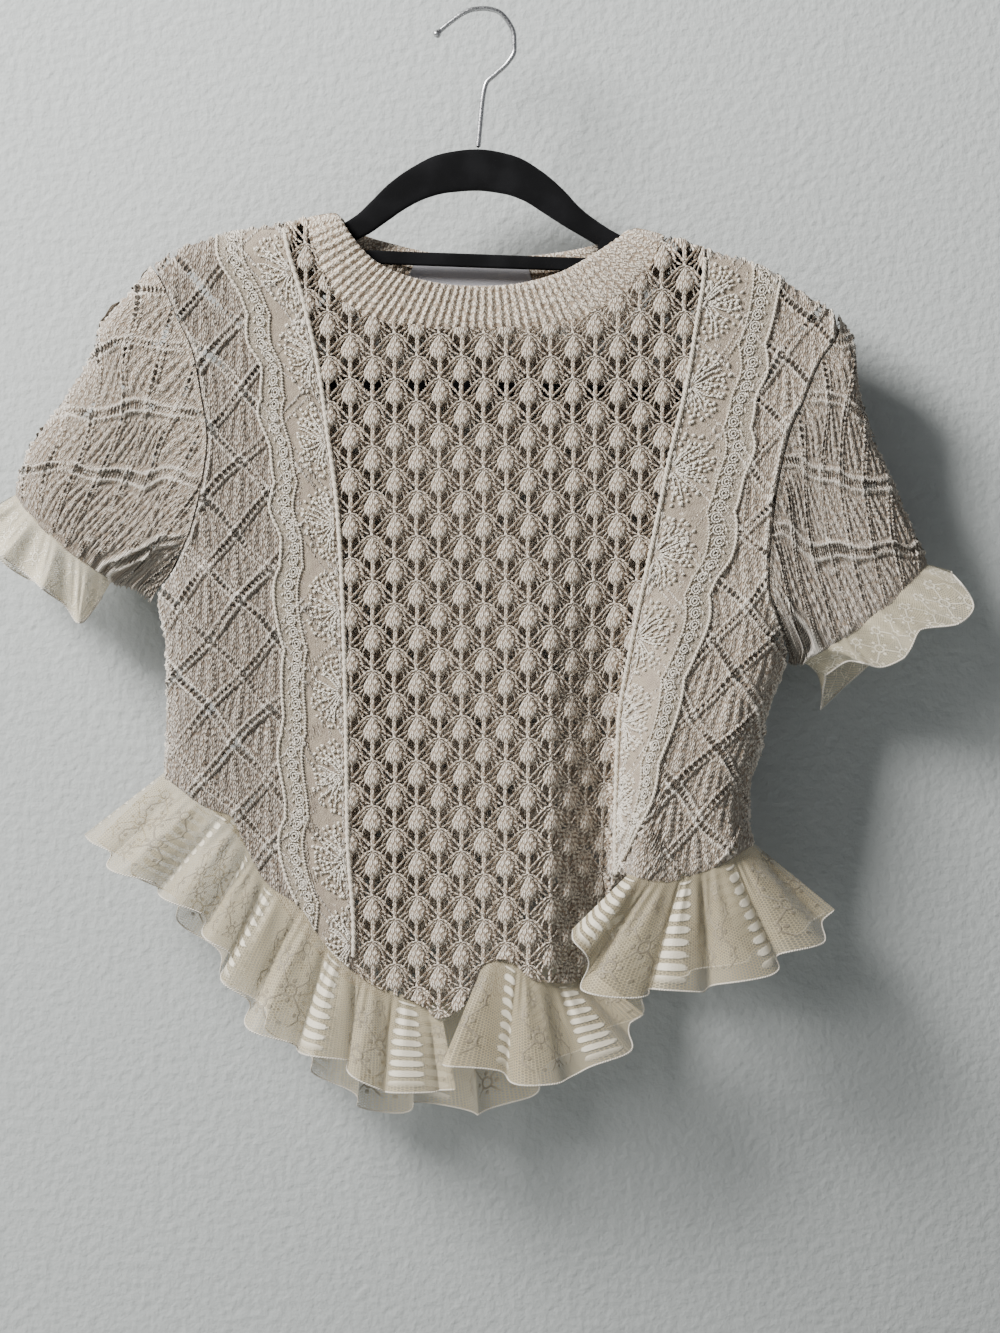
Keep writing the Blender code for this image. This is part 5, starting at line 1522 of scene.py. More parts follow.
@dataclass
class Sleeve:
    """Short sleeve as a flattened tube, with the gathered lace at its cuff."""

    name: str
    side: int
    front: BodyField
    back: BodyField
    top: tuple
    under: tuple
    finishes: Finishes
    per_side: int = 150
    rings: int = 84

    def armhole(self) -> list:
        """Inner points down the front edge and the back edge of the armhole.

        Returns:
            Both edges.
        """
        edge = inside_left if self.side < 0 else inside_right
        armpit = ARMPIT_LEFT if self.side < 0 else ARMPIT_RIGHT
        top = -160.0
        for _ in range(20):
            top = float(shoulder_height(np.array(float(edge(np.array(top))))))
        share = np.linspace(0.0, 1.0, self.per_side)
        z = top + (armpit - top) * (0.35 * share ** 2 + 0.65 * share)
        x = edge(z)
        sides = []
        for field in (self.front, self.back):
            inner = field.points(x, z)
            outer = field.points(x, z, KNIT)
            spread = np.maximum(self.side * (outer[:, 0] - inner[:, 0]), 0.0)
            spread += 2.4 * smoothstep((share - 0.85) / 0.15)
            points = inner.copy()
            points[:, 0] += self.side * (0.1 + spread)
            sides.append(points)
        return sides

    def ring_points(self, s: float, near_edge: Points, far_edge: Points) -> Points:
        """One ring of the sleeve's inside.

        Args:
            s: 0 at the armhole, 1 at the cuff.
            near_edge: Front edge of the armhole.
            far_edge: Back edge of the armhole.

        Returns:
            Points down the front and up the back.
        """
        steps = np.linalg.norm(np.diff(near_edge[:, [0, 2]], axis=0), axis=1)
        t = np.concatenate([[0.0], np.cumsum(steps)]) / np.sum(steps)
        inset = np.array([-self.side * KNIT * 0.6, -KNIT])
        rise = np.array([0.0, KNIT])
        cuff_top = np.array(self.top[-1]) + inset
        cuff_under = np.array(self.under[-1]) + rise
        cuff = cuff_top + (cuff_under - cuff_top) * t[:, None]
        bow = np.array([self.side * SLEEVE_BOW, -SLEEVE_BOW])
        cuff = cuff + bow * np.sin(np.pi * t)[:, None]
        sides = []
        for facing, hole in ((-1, near_edge), (1, far_edge)):
            flat_hole = hole[:, [0, 2]]
            along_top = [tuple(flat_hole[0])] + [(x + inset[0], z + inset[1]) for x, z in self.top[1:]]
            along_under = [tuple(flat_hole[-1])] + [(x + rise[0], z + rise[1])
                                                    for x, z in self.under[1:]]
            top = path(along_top, np.array([s]))[0]
            under = path(along_under, np.array([s]))[0]
            corners = ((1 - s) * (1 - t)[:, None] * flat_hole[0]
                       + (1 - s) * t[:, None] * flat_hole[-1]
                       + s * (1 - t)[:, None] * cuff_top + s * t[:, None] * cuff_under)
            plane = ((1 - s) * flat_hole + s * cuff + (1 - t)[:, None] * top
                     + t[:, None] * under - corners)
            ease = float(smoothstep(np.array(s)))
            arch = np.sin(np.pi * np.clip(t, 0.0, 1.0))
            arch[-1] = 0.0
            swell = SLEEVE_DEPTH * np.power(np.abs(arch), 0.6)
            fold = -facing * SLEEVE_FOLD * np.sin(2.6 * np.pi * t + 0.8) * arch * math.sin(math.pi * s)
            depth = (1 - ease) * np.abs(hole[:, 1]) + ease * swell + fold
            depth[0] = depth[-1] = 0.0
            sides.append(np.column_stack([plane[:, 0], facing * depth, plane[:, 1]]))
        near, far = sides
        return np.concatenate([near, far[-2:0:-1]])

    def build(self) -> Thing:
        """Make the sleeve and keep its mouth.

        Returns:
            The sleeve.
        """
        near_edge, far_edge = self.armhole()
        shares = np.linspace(0.0, 1.0, self.rings)
        inner = np.array([self.ring_points(float(s), near_edge, far_edge) for s in shares])
        inner = np.concatenate([inner, inner[:, :1]], axis=1)
        normal = outward_normals(inner)
        steps = np.linalg.norm(np.diff(inner, axis=1), axis=-1)
        around = np.concatenate([np.zeros((self.rings, 1)), np.cumsum(steps, axis=1)], axis=1)
        around = around[:1] * 0.5 + around * 0.5
        down = np.linalg.norm(np.diff(inner, axis=0), axis=-1)
        along = np.concatenate([np.zeros((1, down.shape[1])), np.cumsum(down, axis=0)], axis=0)
        height, lattice = diamond_relief(around + 9.0, along + 4.0)
        ends = smoothstep(np.minimum(shares, 1 - shares)[:, None] / 0.05)
        height = height * ends + 1.4 * (1 - ends) * smoothstep((0.04 - shares) / 0.03)[:, None]
        height = height + 0.22 * ripple(around / 1.3, along / 1.4, 1.1)
        points = inner + normal * (1.0 + height)[..., None]
        # The relief map carries the height to the finish, which paints shade in its low places and a
        # highlight on its high ones.
        maps = {"grain": np.stack([around, along], axis=-1), "lattice": lattice,
                "relief": np.stack([height, height], axis=-1)}
        piece = make_piece("sleeve_" + self.name + "_lace", points,
                           grid_quads(*points.shape[:2]), maps, self.finishes.diamond)
        close_tube(piece)
        axis = inner[-1].mean(axis=0) - inner[-8].mean(axis=0)
        self.mouth = (inner[-1], normal[-1], axis / np.linalg.norm(axis))
        finish_piece(piece, "knit", "sleeve_" + self.name)
        return piece


def close_tube(piece: Thing) -> None:
    """Merge a tube's first and last columns and turn its faces outwards.

    Args:
        piece: The tube.
    """
    shell = bmesh.new()
    shell.from_mesh(piece.data)
    bmesh.ops.remove_doubles(shell, verts=shell.verts[:], dist=0.00002)
    bmesh.ops.recalc_face_normals(shell, faces=shell.faces[:])
    shell.to_mesh(piece.data)
    shell.free()
    points = np.array([v.co[:] for v in piece.data.vertices])
    centre = Vector(points.mean(axis=0).tolist())
    total = 0.0
    for face in list(piece.data.polygons)[::37]:
        total += (face.center - centre).dot(face.normal) * face.area
    if total < 0:
        piece.data.flip_normals()


def outward_normals(tube_points: Points) -> Points:
    """Normals of a closed tube of rings, turned away from its middle.

    Args:
        tube_points: Rings of points, each closed by its first point.

    Returns:
        A normal for each point.
    """
    open_ring = tube_points[:, :-1]
    normal = grid_normals(open_ring, wrap=True)
    centre = open_ring.mean(axis=1, keepdims=True)
    if np.mean(np.sum(normal * (open_ring - centre), axis=-1)) < 0:
        normal = -normal
    return np.concatenate([normal, normal[:, :1]], axis=1)


def edge_cord(name: str, line: Points, radius: float, finish: Material) -> Thing:
    """Make the cord along a ruffle's free edge.

    Args:
        name: Name of the cord.
        line: Points of the free edge.
        radius: Radius of the cord.
        finish: Its material.

    Returns:
        The cord.
    """
    points, quads, values = tube(line[::2], radius, 5)
    return finish_piece(make_piece(name, points, quads, {"grain": values}, finish), "lace")


@dataclass
class Cuff:
    """Gathered lace that hangs from a sleeve's mouth."""

    name: str
    sleeve: Sleeve
    front_edge: tuple
    back_edge: tuple
    finishes: Finishes
    count: int = 641
    rows: int = 26

    def build(self) -> None:
        """Make the gathered tube and the cord along its edge."""
        ring, normal, axis = self.sleeve.mouth
        half = (len(ring) - 1) // 2
        marks = np.concatenate([np.linspace(0.0, 0.5, half + 1), np.linspace(0.5, 1.0, half + 1)[1:]])
        t = np.linspace(0.0, 1.0, self.count)
        seam = np.column_stack([np.interp(t, marks, ring[:, k]) for k in range(3)])
        out = np.column_stack([np.interp(t, marks, normal[:, k]) for k in range(3)])
        start = seam + out * 0.9 - axis * 1.5
        on_front = t <= 0.5
        share = np.where(on_front, 2 * t, 2 - 2 * t)
        plane = np.where(on_front[:, None], path(self.front_edge, share), path(self.back_edge, share))
        depth = (SLEEVE_DEPTH + CUFF_FLARE) * np.abs(np.sin(2 * np.pi * t)) ** 0.7
        side = np.where(on_front, -1.0, 1.0)
        free = np.column_stack([plane[:, 0], side * depth, plane[:, 1]])
        phase = 2 * np.pi * CUFF_WAVES * t + 0.5 * np.sin(4 * np.pi * t)
        sway = CUFF_WAVE_DEPTH * np.abs(np.sin(2 * np.pi * t)) ** 0.5
        run = np.gradient(free, axis=0)
        run /= np.linalg.norm(run, axis=1, keepdims=True)
        fine = np.sin(3.0 * phase + 1.3 * np.sin(phase))
        surface = []
        for v in np.linspace(0.0, 1.0, self.rows):
            row = start * (1 - v) + free * v
            grown = v ** 0.8
            row[:, 1] += side * (np.sin(phase) * sway * grown + fine * 0.7 * math.sin(math.pi * v))
            row += run * (np.cos(phase) * 2.2 * grown)[:, None]
            surface.append(row)
        points = np.array(surface)
        points[-1, -1] = points[-1, 0]
        cloth = t * 300.0
        deep = np.linspace(2.0, 34.0, self.rows)
        maps = np.stack(np.broadcast_arrays(cloth[None], deep[:, None]), axis=-1)
        piece = make_piece("cuff_" + self.name + "_lace", points, grid_quads(*points.shape[:2]),
                           {"grain": maps}, self.finishes.cuff)
        close_tube(piece)
        finish_piece(piece, "tulle", "cuff_ruffle_" + self.name)
        cord = edge_cord("cuff_" + self.name + "_edge", points[-1], 0.55, self.finishes.thread)


@dataclass
class HemRuffle:
    """Gathered lace below the hem, waved at its free edge."""

    name: str
    stations: tuple
    field: BodyField
    waves: int
    flare: float
    sway: float
    ends: tuple
    finishes: Finishes
    ladders: tuple = ()
    overlap: float = 5.5
    rows: int = 30

    def cloth_run(self, t: Points, lower: Points) -> Points:
        """The cloth's own distance along the ruffle, with a ladder at each given place.

        Args:
            t: Share of the ruffle's run.
            lower: Points of its free edge.

        Returns:
            Distances in millimetres.
        """
        if not self.ladders:
            return t * self.waves * LADDER_REPEAT * 0.5
        places = []
        for x, z in self.ladders:
            places.append(float(t[int(np.argmin(np.hypot(lower[:, 0] - x, lower[:, 1] - z)))]))
        places = sorted(places)
        keys = [0.0, *places, 1.0]
        values = [LADDER_REPEAT * (k - 0.5) for k in range(1, len(places) + 1)]
        first = values[0] - places[0] * LADDER_REPEAT * self.waves * 0.5
        last = values[-1] + (1 - places[-1]) * LADDER_REPEAT * self.waves * 0.5
        return np.interp(t, keys, [first, *values, last])

    def build(self) -> None:
        """Make the ruffle and the cord along its edge."""
        count = self.waves * 44 + 1
        t = np.linspace(0.0, 1.0, count)
        hem = path([(row[0], row[1]) for row in self.stations], t)
        lower = path([(row[2], row[3]) for row in self.stations], t)
        facing = self.field.sign
        table = HEM_FRONT if facing < 0 else HEM_BACK
        hem_z = curve(table, hem[:, 0])
        start = self.field.points(hem[:, 0], hem_z + 1.2, 0.55)
        start_y = facing * start[:, 1]
        depth = start_y + self.flare
        for at, held in self.ends:
            share = bell(t - at, 0.07)
            depth = depth * (1 - share) + held * share
        phase = 2 * np.pi * self.waves * t + 0.6 * np.sin(5 * np.pi * t)
        wave = np.sin(phase) + 0.18 * np.sin(2 * phase + 0.7)
        calm = smoothstep(np.minimum(t, 1 - t) / 0.05)
        fine = np.sin(3.3 * phase + 1.5 * np.sin(phase))
        surface = []
        for v in np.linspace(0.0, 1.0, self.rows):
            lift = float(np.interp(v, (0.0, 0.45, 1.0), (0.0, 0.6, 1.0)))
            across = start[:, 0] * (1 - v) + lower[:, 0] * v
            height = start[:, 2] * (1 - v) + lower[:, 1] * v
            out = start_y * (1 - lift) + depth * lift + self.sway * lift * wave * calm
            out = out + 0.8 * fine * math.sin(math.pi * min(v * 1.6, 1.0)) * (1 - 0.6 * v) * calm
            across = across - self.overlap * lift * np.cos(phase) * calm
            out = np.maximum(out, SEAM_GAP)
            surface.append(np.column_stack([across, facing * out, height]))
        points = np.array(surface)
        cloth = self.cloth_run(t, lower)
        deep = np.linspace(0.0, RUFFLE_DEPTH, self.rows)
        maps = np.stack(np.broadcast_arrays(cloth[None], deep[:, None]), axis=-1)
        piece = make_piece(self.name + "_lace", points, grid_quads(*points.shape[:2]),
                           {"grain": maps}, self.finishes.ruffle, (0, facing, 0))
        finish_piece(piece, "tulle", self.name)
        cord = edge_cord(self.name + "_edge", points[-1], 0.5, self.finishes.thread)


@dataclass
class LaceStrip:
    """Floral lace strip that lies on a side panel beside its corded seam."""

    name: str
    field: BodyField
    inner: tuple
    outer: tuple
    side: int
    finishes: Finishes
    rows: int = 420
    columns: int = 44
    scallop: float = 50.0
    width: float = 42.0

    def bulge(self, z: Points) -> Points:
        """How far each scallop bulges at a height, 0 at the cusps and 1 between."""
        return np.abs(np.sin(np.pi * (z - self.heights()[0]) / self.scallop)) ** 0.7

    def heights(self) -> Points:
        """Heights of the strip's rows.

        Returns:
            The heights, top to hem.
        """
        middle_top = float(curve(self.inner, np.array(-135.0)))
        top = float(top_edge(NECK_FRONT, np.array(middle_top + self.side * 20.0))) - 1.0
        middle_hem = float(curve(self.inner, np.array(-530.0)))
        hem = float(curve(HEM_FRONT, np.array(middle_hem + self.side * 10.0))) + 1.0
        return np.linspace(top, hem, self.rows)

    def build(self) -> None:
        """Make the strip, its flowers, its bead line and its cords."""
        z = self.heights()
        share = np.linspace(0.0, 1.0, self.columns)
        shares, levels = np.meshgrid(share, z)
        shares = shares * (1.0 + 0.09 * (self.bulge(levels) - 0.6))
        border = smoothstep((share - 0.74) / 0.05)[None] * smoothstep((1.0 - share) / 0.02 + 0.3)[None]
        ribs = 0.5 + 0.5 * np.cos(2 * np.pi * (levels + 6.0 * shares) / 2.6)
        lift = 2.3 + border * 0.4 * ribs + 0.1 * ripple(shares * 30, levels / 1.7, 0.6)
        x_seam = curve(self.inner, levels)
        x = x_seam + (curve(self.outer, levels) - x_seam) * shares
        top = top_edge(NECK_FRONT, x)
        hem = curve(HEM_FRONT, x)
        bounded = np.clip(levels, hem, top)
        points = self.field.points(x, bounded, lift)
        maps = {"grain": np.stack([shares * 44.0, levels], axis=-1)}
        quads = grid_quads(*shares.shape)
        piece = make_piece("strip_" + self.name + "_tulle", points, quads, maps,
                           self.finishes.strip, (0, -1, 0))
        finish_piece(piece, "lace", "lace_strip_" + self.name)
        flowers = self.build_flowers(z)
        cords = self.build_cords(z)

    def petal_form(self) -> tuple[Points, Points]:
        """One plump knot as a dome, 2.6 mm long, and its faces.

        Returns:
            Points and faces.
        """
        along = np.linspace(0.0, 1.0, 5)
        turn = np.linspace(0.0, np.pi, 5)
        half = 1.0 * np.sin(np.pi * np.clip(along * 0.92 + 0.06, 0, 1)) ** 0.7
        x = -half[:, None] * np.cos(turn)[None]
        y = np.repeat(along[:, None] * 2.6 - 1.3, 5, axis=1)
        h = 1.7 * half[:, None] * np.sin(turn)[None]
        return np.stack([x, y, h], axis=-1).reshape(-1, 3), grid_quads(5, 5)

    def wheel_knots(self, form: Points, middle: float, seeds: np.random.Generator) -> list:
        """Lay the knots of one half wheel.

        Args:
            form: Points of a knot.
            middle: Height of the wheel's hub.
            seeds: Source of small differences.

        Returns:
            Points of each knot, as (across, height, lift).
        """
        copies = []
        for ring, number in ((5.5, 5), (8.6, 8), (11.8, 12), (15.0, 15), (18.2, 18), (21.4, 19)):
            for n in range(number):
                angle = 1.5 * (2 * (n + 0.5) / number - 1) + seeds.normal(0, 0.04)
                away = ring + seeds.normal(0, 0.45)
                turn = math.pi / 2 - angle + seeds.normal(0, 0.7)
                local = form * (0.85 + 0.3 * seeds.random())
                gap = min(abs(angle - 0.5), abs(angle + 0.5))
                spot = 3.0 + away * math.cos(angle)
                if gap * away < 1.3 or spot > 23.5:
                    continue
                u = spot + local[:, 0] * math.cos(turn) + local[:, 1] * math.sin(turn)
                v = middle + away * math.sin(angle) * 1.02
                v = v - local[:, 0] * math.sin(turn) + local[:, 1] * math.cos(turn)
                copies.append(np.column_stack([u, v, local[:, 2]]))
        return copies

    def wheel_stems(self, middle: float, seeds: np.random.Generator) -> list:
        """Lay the stems of one half wheel.

        Args:
            middle: Height of the wheel's hub.
            seeds: Source of small differences.

        Returns:
            Each stem's line, as (across, height, lift).
        """
        lines = []
        t = np.linspace(0.0, 1.0, 10)
        away = 2.0 + 17.0 * t
        for n in range(9):
            angle = 1.25 * (n - 4) / 4 + seeds.normal(0, 0.05)
            bent = angle + 0.10 * np.sin(4 * t + n)
            lines.append(np.column_stack([2.5 + away * np.cos(bent), middle + away * np.sin(bent),
                                          np.full(len(t), 0.7)]))
        return lines

    def border_rings(self, form: Points, middle: float, seeds: np.random.Generator) -> tuple:
        """Lay the rings along the border of one scallop.

        Args:
            form: Points of a knot.
            middle: Height of the scallop's middle.
            seeds: Source of small differences.

        Returns:
            The rings' lines, and the points of each knot round them.
        """
        lines = []
        copies = []
        turn = np.linspace(0.0, 2 * np.pi, 15)
        for n in range(7):
            spot_v = middle + self.scallop * ((n + 0.5) / 7 - 0.5)
            spot_u = 30.0 + 4.5 * float(self.bulge(np.array(spot_v))) + seeds.normal(0, 0.4)
            for radius in (2.7, 1.3):
                u = spot_u + radius * np.cos(turn)
                v = spot_v + radius * 1.1 * np.sin(turn)
                lines.append(np.column_stack([u, v, np.full(len(turn), 0.5)]))
            for m in range(6):
                angle = m + seeds.normal(0, 0.3)
                local = form * np.array([0.7, 0.9, 0.8])
                u = spot_u + 4.2 * math.cos(angle) + local[:, 0] * math.cos(angle)
                v = spot_v + 3.6 * math.sin(angle) + local[:, 1] * math.cos(angle)
                copies.append(np.column_stack([u - 0.5 * local[:, 1], v, local[:, 2]]))
        return lines, copies

    def build_flowers(self, z: Points) -> Thing:
        """Lay a half wheel of knots and stems in each scallop, and rings along the border.

        Args:
            z: Heights of the strip's rows.

        Returns:
            The flowers, as one piece.
        """
        form, quads = self.petal_form()
        seeds = np.random.default_rng(11 if self.side < 0 else 12)
        copies = []
        lines = []
        for k in range(int((z[0] - z[-1]) / self.scallop) + 1):
            middle = z[0] - self.scallop * (k + 0.5)
            copies += self.wheel_knots(form, middle, seeds)
            lines += self.wheel_stems(middle, seeds)
            rings, knots = self.border_rings(form, middle, seeds)
            lines += rings
            copies += knots
        points, faces = repeat_form(np.array(copies), quads)
        values = np.column_stack([points[:, 0], points[:, 1]])
        stems = [tube(self.on_strip(line), 0.5, 5) for line in lines]
        points, faces, values = gather([(self.on_strip(points), faces, values), *stems])
        piece = make_piece("strip_" + self.name + "_flowers", points, faces, {"grain": values},
                           self.finishes.thread, (0, -1, 0))
        return finish_piece(piece, "lace")

    def on_strip(self, spots: Points) -> Points:
        """Points of the strip from (across, height, lift) in millimetres.

        Args:
            spots: Places on the strip.

        Returns:
            Points in millimetres.
        """
        z = spots[:, 1]
        wide = np.abs(curve(self.outer, z) - curve(self.inner, z))
        share = np.clip(spots[:, 0] / self.width, 0.0, 1.05)
        x = curve(self.inner, z) + self.side * share * wide
        z = np.clip(z, curve(HEM_FRONT, x) + 0.5, top_edge(NECK_FRONT, x) - 0.5)
        return self.field.points(x, z, 2.5 + spots[:, 2])

    def build_cords(self, z: Points) -> Thing:
        """Make the seam cord, the sinuous bead line and the scalloped edge cord.

        Args:
            z: Heights of the strip's rows.

        Returns:
            The cords, as one piece.
        """
        seam_z = np.linspace(z[0] + 1.0, z[-1] - 2.0, 420)
        seam = np.column_stack([np.full(420, 0.4), seam_z, np.full(420, 0.6)])
        parts = [tube(self.on_strip(seam), 1.35 + 0.3 * np.cos(2 * np.pi * seam_z / 4.6), 8)]
        fine = np.linspace(z[0], z[-1], 1100)
        sway = 25.0 + 4.0 * self.bulge(fine)
        line = np.column_stack([sway, fine, np.full(len(fine), 0.5)])
        bead = 0.65 + 0.35 * np.cos(2 * np.pi * fine / 1.9)
        parts.append(tube(self.on_strip(line), bead, 5))
        rim = self.width * (1.0 + 0.09 * (self.bulge(fine) - 0.6))
        edge = np.column_stack([rim, fine, np.full(len(fine), 0.4)])
        parts.append(tube(self.on_strip(edge), 0.9 + 0.2 * np.cos(2 * np.pi * fine / 2.6), 6))
        points, faces, values = gather(parts)
        piece = make_piece("strip_" + self.name + "_cords", points, faces, {"grain": values},
                           self.finishes.cord)
        return finish_piece(piece, "lace")


@dataclass
class NeckLabel:
    """Bare woven label on the inside of the back neckband."""

    field: BodyField
    finish: Material

    def build(self) -> None:
        """Make the label, lying just inside the band."""
        t = np.linspace(*LABEL_SPAN, 60)
        upper = path([(row[0], row[1]) for row in NECK_BACK], t)
        lower = path([(row[2], row[3]) for row in NECK_BACK], t)
        rows = []
        for share in np.linspace(0.3, 0.95, 16):
            place = upper * (1 - share) + lower * share
            sag = 0.25 * np.sin(7 * t + 3 * share)
            rows.append(self.field.points(place[:, 0], place[:, 1], -0.9 + sag))
        points = np.array(rows)
        maps = np.stack(np.meshgrid(np.linspace(0, 79, 60), np.linspace(0, 15, 16)), axis=-1)
        piece = make_piece("neck_label_satin", points, grid_quads(16, 60), {"grain": maps},
                           self.finish, (0, -1, 0))
        finish_piece(piece, "label", "neck_label")


@dataclass
class Hanger:
    """Velvet hanger: one loop of arch, arms and lower bar, a tie bar, and the wire hook."""

    finishes: Finishes
    loop: tuple = (
        (-22, -97.2, 24), (-4, -95.4, 25), (14.7, -98.1, 24), (28.8, -104.4, 21), (42, -114, 18.5),
        (52.5, -122.8, 15), (62, -129.4, 13), (78, -139, 12), (96, -146.6, 11.8), (120, -150.2, 11.4),
        (150, -156.8, 11), (165, -162.9, 10.6), (186, -177, 10.2), (202, -193, 9.6), (209.6, -206, 9),
        (208, -221, 8.6), (198.5, -229.4, 8.4), (184, -232.9, 8.4), (120, -230.6, 8.4),
        (60, -228.5, 8.4), (0, -226.4, 8.4), (-60, -224.3, 8.4), (-120, -222.2, 8.4),
        (-190, -219.6, 8.4), (-204.5, -216.6, 8.4), (-211.5, -209, 8.6), (-212.8, -197, 8.6),
        (-206, -183, 9.2), (-195, -166.5, 10.2), (-178, -151.6, 10.6), (-159.6, -144.1, 11),
        (-140, -140.2, 11.4), (-112, -138.2, 11.8), (-88, -135.4, 12), (-73.2, -128.8, 13.4),
        (-62, -120, 15.5), (-51.6, -111.3, 18), (-38.4, -103.2, 20.5),
    )
    bar_heights: tuple = (-0.147, -0.1528)
    bar_half: float = 0.004
    struts: tuple = (-0.0785, 0.069)
    strut_rise: float = 0.012
    neck_share: float = 0.03
    ball_share: float = 0.05

    def build_loop(self) -> Thing:
        """Place a torus's rings along the hanger's closed middle line.

        Returns:
            The loop.
        """
        rings = 256
        sides = 20
        bpy.ops.object.select_all(action="DESELECT")
        bpy.ops.mesh.primitive_torus_add(major_segments=rings, minor_segments=sides,
                                         major_radius=0.2, minor_radius=0.01)
        thing = bpy.context.object
        stations = np.array(self.loop + self.loop[:1])
        keys = run_length(stations[:, :2])
        t = np.linspace(0.0, keys[-1], rings, endpoint=False)
        wrapped = np.vstack([stations[-3:-1], stations, stations[1:3]])
        long_keys = np.concatenate([keys[-3:-1] - keys[-1], keys, keys[1:3] + keys[-1]])
        line = np.column_stack([curve(list(zip(long_keys, wrapped[:, k])), t) for k in range(3)])
        run = np.roll(line[:, :2], -1, axis=0) - np.roll(line[:, :2], 1, axis=0)
        run /= np.linalg.norm(run, axis=1, keepdims=True)
        across = np.column_stack([-run[:, 1], run[:, 0]])
        angle = 2 * np.pi * np.arange(sides) / sides
        wide = np.sign(np.cos(angle)) * np.abs(np.cos(angle)) ** 0.45
        deep = np.sign(np.sin(angle)) * np.abs(np.sin(angle)) ** 0.45
        half = line[:, 2:3] / 2
        x = line[:, 0:1] + across[:, 0:1] * half * wide[None]
        z = line[:, 1:2] + across[:, 1:2] * half * wide[None]
        y = np.repeat(deep[None] * HANGER_THICK / 2, rings, axis=0)
        points = np.stack([x, y, z], axis=-1) * MM
        thing.data.vertices.foreach_set("co", points.ravel())
        return self.finished(thing, "hanger_loop", self.finishes.velvet)

    def finished(self, thing: Thing, name: str, finish: Material) -> Thing:
        """Name a piece, turn its faces outwards, smooth it and give it its finish.

        Args:
            thing: The piece, as the active object.
            name: Its name.
            finish: Its material.

        Returns:
            The piece.
        """
        thing.name = name
        thing.data.name = name
        bpy.ops.object.mode_set(mode="EDIT")
        bpy.ops.mesh.select_all(action="SELECT")
        bpy.ops.mesh.normals_make_consistent(inside=False)
        bpy.ops.object.mode_set(mode="OBJECT")
        bpy.ops.object.shade_smooth_by_angle(angle=math.radians(40))
        thing.data.materials.clear()
        thing.data.materials.append(finish)
        return thing

    def build_tie_bar(self) -> Thing:
        """Raise the tie bar and its struts from one box.

        Returns:
            The tie bar.
        """
        low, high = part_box("hanger_tie_bar")
        bpy.ops.object.select_all(action="DESELECT")
        bpy.ops.mesh.primitive_cube_add(size=1.0)
        thing = bpy.context.object
        for vertex in thing.data.vertices:
            on_left = vertex.co.x < 0
            level = self.bar_heights[0 if on_left else 1]
            vertex.co.z = level + (self.bar_half if vertex.co.z > 0 else -self.bar_half)
            vertex.co.x = low.x if on_left else high.x
            vertex.co.y = HANGER_THICK / 2 * MM * (1 if vertex.co.y > 0 else -1)
        bpy.ops.object.mode_set(mode="EDIT")
        shell = bmesh.from_edit_mesh(thing.data)
        for place in self.struts:
            whole = shell.verts[:] + shell.edges[:] + shell.faces[:]
            bmesh.ops.bisect_plane(shell, geom=whole, plane_co=(place, 0, 0), plane_no=(1, 0, 0))
        shell.faces.ensure_lookup_table()
        for face in shell.faces:
            face.select = False
        for face in shell.faces:
            middle = face.calc_center_median().x
            beyond = middle < self.struts[0] - 0.0005 or middle > self.struts[1] + 0.0005
            if face.normal.z > 0.9 and beyond:
                face.select = True
        bmesh.update_edit_mesh(thing.data)
        bpy.ops.mesh.extrude_region_move(TRANSFORM_OT_translate={"value": (0, 0, self.strut_rise)})
        bpy.ops.object.mode_set(mode="OBJECT")
        rounded = thing.modifiers.new("edges", "BEVEL")
        rounded.width = 0.0012
        rounded.segments = 3
        rounded.limit_method = "ANGLE"
        bpy.ops.object.modifier_apply(modifier="edges")
        return self.finished(thing, "hanger_tie", self.finishes.velvet)

    def build_hook(self) -> Thing:
        """Place a sphere's rings along the wire, closed at both ends.

        Returns:
            The wire.
        """
        rings = 110
        sides = 20
        bpy.ops.object.select_all(action="DESELECT")
        bpy.ops.mesh.primitive_uv_sphere_add(segments=sides, ring_count=rings, radius=1.0)
        thing = bpy.context.object
        t = np.linspace(0.0, 1.0, rings + 1)
        ball = np.clip(t / self.ball_share, 0.0, 1.0)
        line = path(HOOK_PATH, np.clip((t - self.neck_share) / (1 - self.neck_share), 0.0, 1.0))
        run = np.gradient(path(HOOK_PATH, t), axis=0)
        run /= np.linalg.norm(run, axis=1, keepdims=True)
        lead = np.interp(t, (0.0, self.neck_share), (HOOK_BALL, 0.0))
        line = line - run[0] * lead[:, None]
        swell = np.sqrt(np.clip(1 - (2 * ball - 1) ** 2, 0.0, 1.0)) * HOOK_BALL
        radius = np.maximum(swell, np.where(t > self.neck_share, HOOK_RADIUS, 0.0))
        radius[-1] = 0.0
        co = np.zeros(len(thing.data.vertices) * 3)
        thing.data.vertices.foreach_get("co", co)
        co = co.reshape(-1, 3)
        level = np.arccos(np.clip(co[:, 2], -1, 1)) / np.pi * rings
        ring = np.round(level).astype(int)
        turn = np.arctan2(co[:, 1], co[:, 0])
        centre = line[ring]
        along = run[ring]
        size = radius[ring]
        x = centre[:, 0] - along[:, 1] * size * np.cos(turn)
        z = centre[:, 1] + along[:, 0] * size * np.cos(turn)
        y = size * np.sin(turn)
        thing.data.vertices.foreach_set("co", (np.column_stack([x, y, z]) * MM).ravel())
        return self.finished(thing, "hook_wire", self.finishes.chrome)

    def build(self) -> None:
        """Build and place every piece of the hanger."""
        finish_piece(self.build_loop(), "velvet", "hanger_arch", "hanger_arm_left",
                     "hanger_arm_right", "hanger_trouser_bar")
        finish_piece(self.build_tie_bar(), "velvet", "hanger_tie_bar")
        finish_piece(self.build_hook(), "chrome", "hanger_hook")


